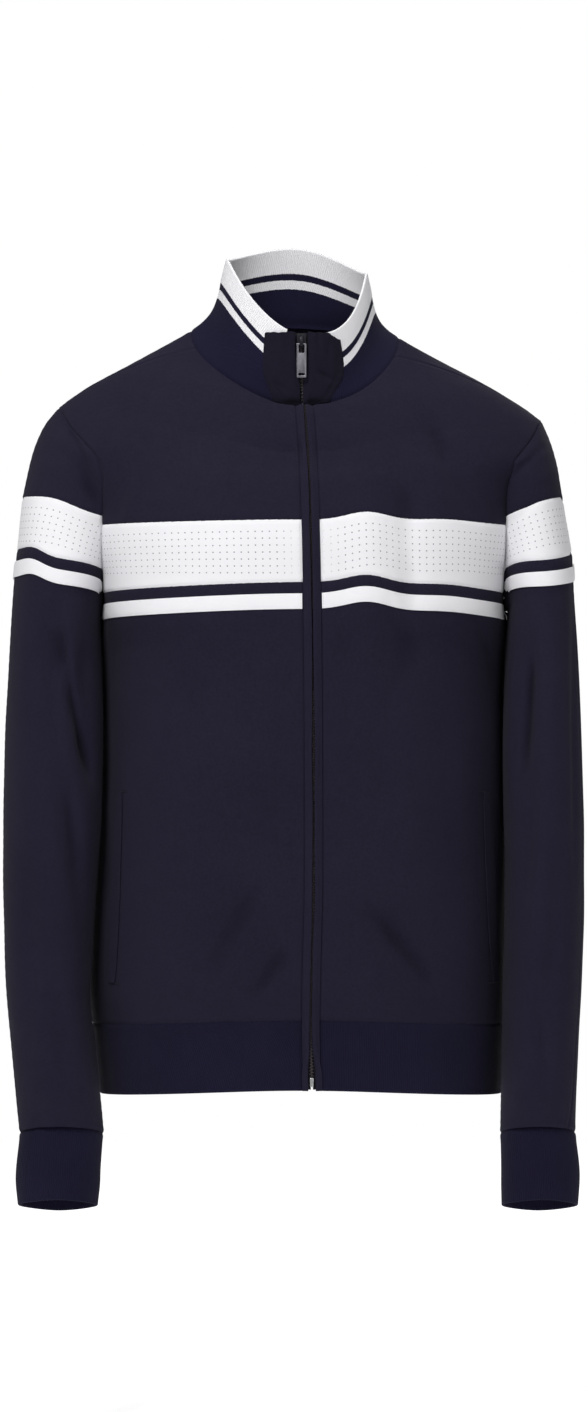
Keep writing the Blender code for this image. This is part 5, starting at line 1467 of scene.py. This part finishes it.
def make_slider(x, plate_y, deep):
    half, tall = SLIDER_WIDTH / 2, SLIDER_HEIGHT / 2
    nose_half, nose_foot = half - SLIDER_NOSE[0], SLIDER_NOSE[1] - tall
    outline = ((-half, tall), (-half, nose_foot), (-nose_half, -tall))
    outline += tuple((-across, up) for across, up in outline[::-1])
    plate("zip_slider_body", [rounded(outline, SLIDER_ROUND)], SLIDER_PLATE, SLIDER_EDGE, METAL_SLIDER,
          (x, plate_y + SLIDER_PLATE / 2, SLIDER_MIDDLE), ["zip_slider"])
    top, foot = tall - FLANGE_SHORT[0], FLANGE_SHORT[1] - tall
    flange = ((-FLANGE_HALF, top), (-FLANGE_HALF, foot), (FLANGE_HALF, foot), (FLANGE_HALF, top))
    loop = rounded(flange, FLANGE_ROUND)
    for side, name in SIDE_NAMES.items():
        place = (x + side * (half - FLANGE_IN), plate_y + deep / 2 + FLANGE_GAP / 2, SLIDER_MIDDLE)
        plate(f"zip_slider_flange_{name}", [loop], deep - FLANGE_GAP, FLANGE_EDGE, METAL_SLIDER, place)
    turns = np.linspace(-math.pi / 2, math.pi / 2, 21)
    arch = [(plate_y - BRIDGE_RISE * math.cos(turn) ** BRIDGE_FLAT, BRIDGE_MIDDLE + BRIDGE_HALF * math.sin(turn))
            for turn in turns[1:-1]]
    feet = [(plate_y + BRIDGE_ROOT, BRIDGE_MIDDLE + end * BRIDGE_HALF) for end in (-1, 1)]
    path = [feet[0], *arch, feet[1]]
    strap("zip_slider_bridge", path, BRIDGE_RADIUS * BRIDGE_WIDEN, BRIDGE_RADIUS, METAL_SLIDER, x)


def make_metal():
    x, y, out_y, _ = (float(value) for value in zip_place(SLIDER_MIDDLE))
    front = CHAIN_HEIGHT - TAPE_DEPTH + METAL_GAP + SLIDER_PLATE
    plate_y = y + out_y * front
    make_slider(x, plate_y, front - (METAL_GAP - TAPE_DEPTH))

    half, bar = PULL_WIDTH / 2, EYE_BAR / 2
    foot = bar - PULL_LENGTH
    slot_foot = foot + PULL_SLOT_UP
    loops = (
        rectangle(half, bar, foot, PULL_ROUND),
        rectangle(half - PRONG, -bar, -WINDOW_LENGTH, WINDOW_ROUND),
        rectangle(PULL_SLOT_WIDTH / 2, slot_foot + PULL_SLOT_HEIGHT, slot_foot, SLOT_ROUND),
    )
    place = (x, plate_y - PULL_AXIS_OUT, PULL_AXIS_HEIGHT)
    plate("zip_pull_tab", loops, PULL_THICK, PULL_EDGE, METAL_PULL, place, ["zip_pull"], "zip_pull")

    height = CHAIN_FOOT - METAL_GAP - BOX_HEIGHT / 2
    x, y, out_y, _ = (float(value) for value in zip_place(height))
    out = METAL_GAP + BOX_THICK / 2 - TAPE_DEPTH
    half, tall = BOX_WIDTH / 2 - BOX_IN, BOX_HEIGHT / 2
    outline = ((-half, tall), (-half + BOX_TAPER, -tall), (half - BOX_TAPER, -tall), (half, tall))
    place = (x, y + out_y * out, height)
    plate("zip_box_body", [rounded(outline, BOX_ROUND, 7)], BOX_THICK, BOX_EDGE, METAL_BOX, place, ["zip_box"])


# ---------------------------------------------------------------- sewing

STITCHED_FROM_PLACKET, WELT_STITCH = 2.1, 1.3  # how far each row runs from the edge that it holds
STITCHES_END = 3  # it stops this far short of the collar's seam and the hem rib's
ROW_STOPS, ROW_STARTS = 0.6, 0.8  # how far from the edges of the tape and of the band
WELT_STITCH_END, BAG_STITCH, BAG_WIDENS = 4, 8, 4  # short of the welt's ends; the pocket bag's row from its edge
TACK_AWAY, TACK_OUTER, TACK_INNER = 3.4, 4.0, 5.5  # a bartack's place beyond the welt's end, and its two ends


def make_stitches():
    foot, top = front_height(HEM_SEAM) + STITCHES_END, front_height(NECK) - STITCHES_END
    levels = np.array([TAPE_FOOT, TAPE_TOP, BAND_FOOT, BAND_TOP])
    edges = levels + read(TORSO, TORSO_COLUMNS, "front_rise", levels)
    rows = (
        ("lower", foot, edges[0] - ROW_STOPS, THREAD_NAVY),
        ("tape", edges[0] + ROW_STARTS, edges[1] - ROW_STOPS, THREAD_WHITE),
        ("band", edges[2] + ROW_STARTS, edges[3] - ROW_STARTS, THREAD_WHITE),
        ("upper", edges[3] + ROW_STARTS, top, THREAD_NAVY),
    )
    for side, name in SIDE_NAMES.items():
        for part, start, end, thread in rows:
            heights = np.linspace(start, end, 60)
            xs = zip_x(heights) + side * (PLACKET + STITCHED_FROM_PLACKET)
            stitches(f"topstitch_{part}_{name}", f"front_{part}_{name}_cloth", np.stack([xs, heights], 1), thread)

        lower, welt = f"front_lower_{name}_cloth", f"pocket_welt_{name}_cloth"
        levels = np.linspace(WELT_TOP - WELT_STITCH_END, WELT_FOOT + WELT_STITCH_END, 40)
        down, middle, narrow = welt_run(levels, side)
        half = WELT_WIDTH * narrow / 2
        x, _, z = torso(levels, torso_angle(levels, middle))
        inner, bag = (x - side * away for away in (half - WELT_STITCH, half + BAG_STITCH + BAG_WIDENS * down))
        stitches(f"welt_stitch_{name}", welt, np.stack([inner, z], 1), THREAD_NAVY, 2.4, 1.7)
        stitches(f"pocket_bag_stitch_{name}", lower, np.stack([bag, z], 1), THREAD_NAVY, 3.0, 1.6, (0.14, 0.1))
        for label, end, away, climb in (("top", 0, TACK_AWAY, 2.0), ("foot", -1, -TACK_AWAY, -1.0)):
            outer = (x[end] + side * TACK_OUTER, z[end] + away)
            inner = (x[end] - side * TACK_INNER, z[end] + away + climb)
            bartack(f"bartack_{label}_{name}", lower, outer, inner, THREAD_NAVY)


# ---------------------------------------------------------------- the stage

FLOOR_HALF, FLOOR_FRONT, FLOOR_LEVEL = 3000, -1500, -1000
FLOOR_BACK = 2600  # it ends before the part that the lamps would leave grey
FLOOR_GLOW = 0.62  # it gives off this much light, so that it is as white as the world behind it
AMBIENT = 0.2  # the light from all round; the world behind the jacket stays white
LAMPS_FACE = (0, 0, -0.33)  # the place that they point at
LAMPS = (("key", (-0.7, -1.4, 1.4), 0.6, 40), ("fill", (1.0, -2.0, 0.6), 1.2, 10), ("top", (0.2, -0.2, 1.6), 1.0, 6),
         ("back", (0.5, 2.2, 0.9), 1.4, 26))  # places and sizes in metres, and power in watts
CAMERA_X, CAMERA_OUT, CAMERA_HEIGHT = -5.5, 4000, -336.7
FOCAL_LENGTH, SENSOR = 110.9, 36


def make_stage():
    across, along = (-1, 1, 1, -1), (FLOOR_FRONT, FLOOR_FRONT, FLOOR_BACK, FLOOR_BACK)
    corners = [(side * FLOOR_HALF, y, FLOOR_LEVEL) for side, y in zip(across, along)]
    floor = mesh_of("floor", np.array(corners, float), np.array([[0, 1, 2, 3]]))
    nodes = Nodes("floor_white")
    nodes.fill(nodes.shader, {"Base Color": (0.8, 0.8, 0.8, 1), "Roughness": 0.9})
    nodes.fill(nodes.shader, {"Emission Color": (1, 1, 1, 1), "Emission Strength": FLOOR_GLOW})
    floor.data.materials.append(nodes.material)

    world = bpy.data.worlds.new("studio")
    world.use_nodes = True
    tree = world.node_tree
    seen, lit = tree.nodes["Background"], tree.nodes.new("ShaderNodeBackground")
    rays, mixed = tree.nodes.new("ShaderNodeLightPath"), tree.nodes.new("ShaderNodeMixShader")
    for light, strength in ((seen, 1.0), (lit, AMBIENT)):
        light.inputs["Color"].default_value = (1, 1, 1, 1)
        light.inputs["Strength"].default_value = strength
    tree.links.new(rays.outputs["Is Camera Ray"], mixed.inputs[0])
    tree.links.new(lit.outputs[0], mixed.inputs[1])
    tree.links.new(seen.outputs[0], mixed.inputs[2])
    tree.links.new(mixed.outputs[0], tree.nodes["World Output"].inputs["Surface"])
    bpy.context.scene.world = world
    bpy.context.scene.view_settings.view_transform = "Standard"

    for name, place, size, power in LAMPS:
        light = bpy.data.lights.new(name, "AREA")
        light.size, light.energy = size, power
        lamp = placed(name, light)
        lamp.location = place
        way = Vector(LAMPS_FACE) - Vector(place)
        lamp.rotation_euler = way.to_track_quat("-Z", "Y").to_euler()


def make_camera():
    lens = bpy.data.cameras.new("camera")
    lens.lens, lens.sensor_width = FOCAL_LENGTH, SENSOR
    camera = placed("camera", lens)
    camera.location = (CAMERA_X * MM, -CAMERA_OUT * MM, CAMERA_HEIGHT * MM)
    camera.rotation_euler = (math.pi / 2, 0, 0)
    bpy.context.scene.camera = camera


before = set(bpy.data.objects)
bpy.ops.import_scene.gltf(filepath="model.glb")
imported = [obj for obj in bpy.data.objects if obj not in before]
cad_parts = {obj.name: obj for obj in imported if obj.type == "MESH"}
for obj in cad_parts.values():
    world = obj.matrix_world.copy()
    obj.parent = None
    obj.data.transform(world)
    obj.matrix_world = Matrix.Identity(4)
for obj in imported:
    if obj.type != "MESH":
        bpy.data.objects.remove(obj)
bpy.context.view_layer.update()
make_camera()
make_body()
make_sleeves()
make_ribs_and_collar()
make_welts()
make_plackets()
make_zip_tape()
build_shells()
make_teeth()
make_metal()
make_stitches()
make_stage()
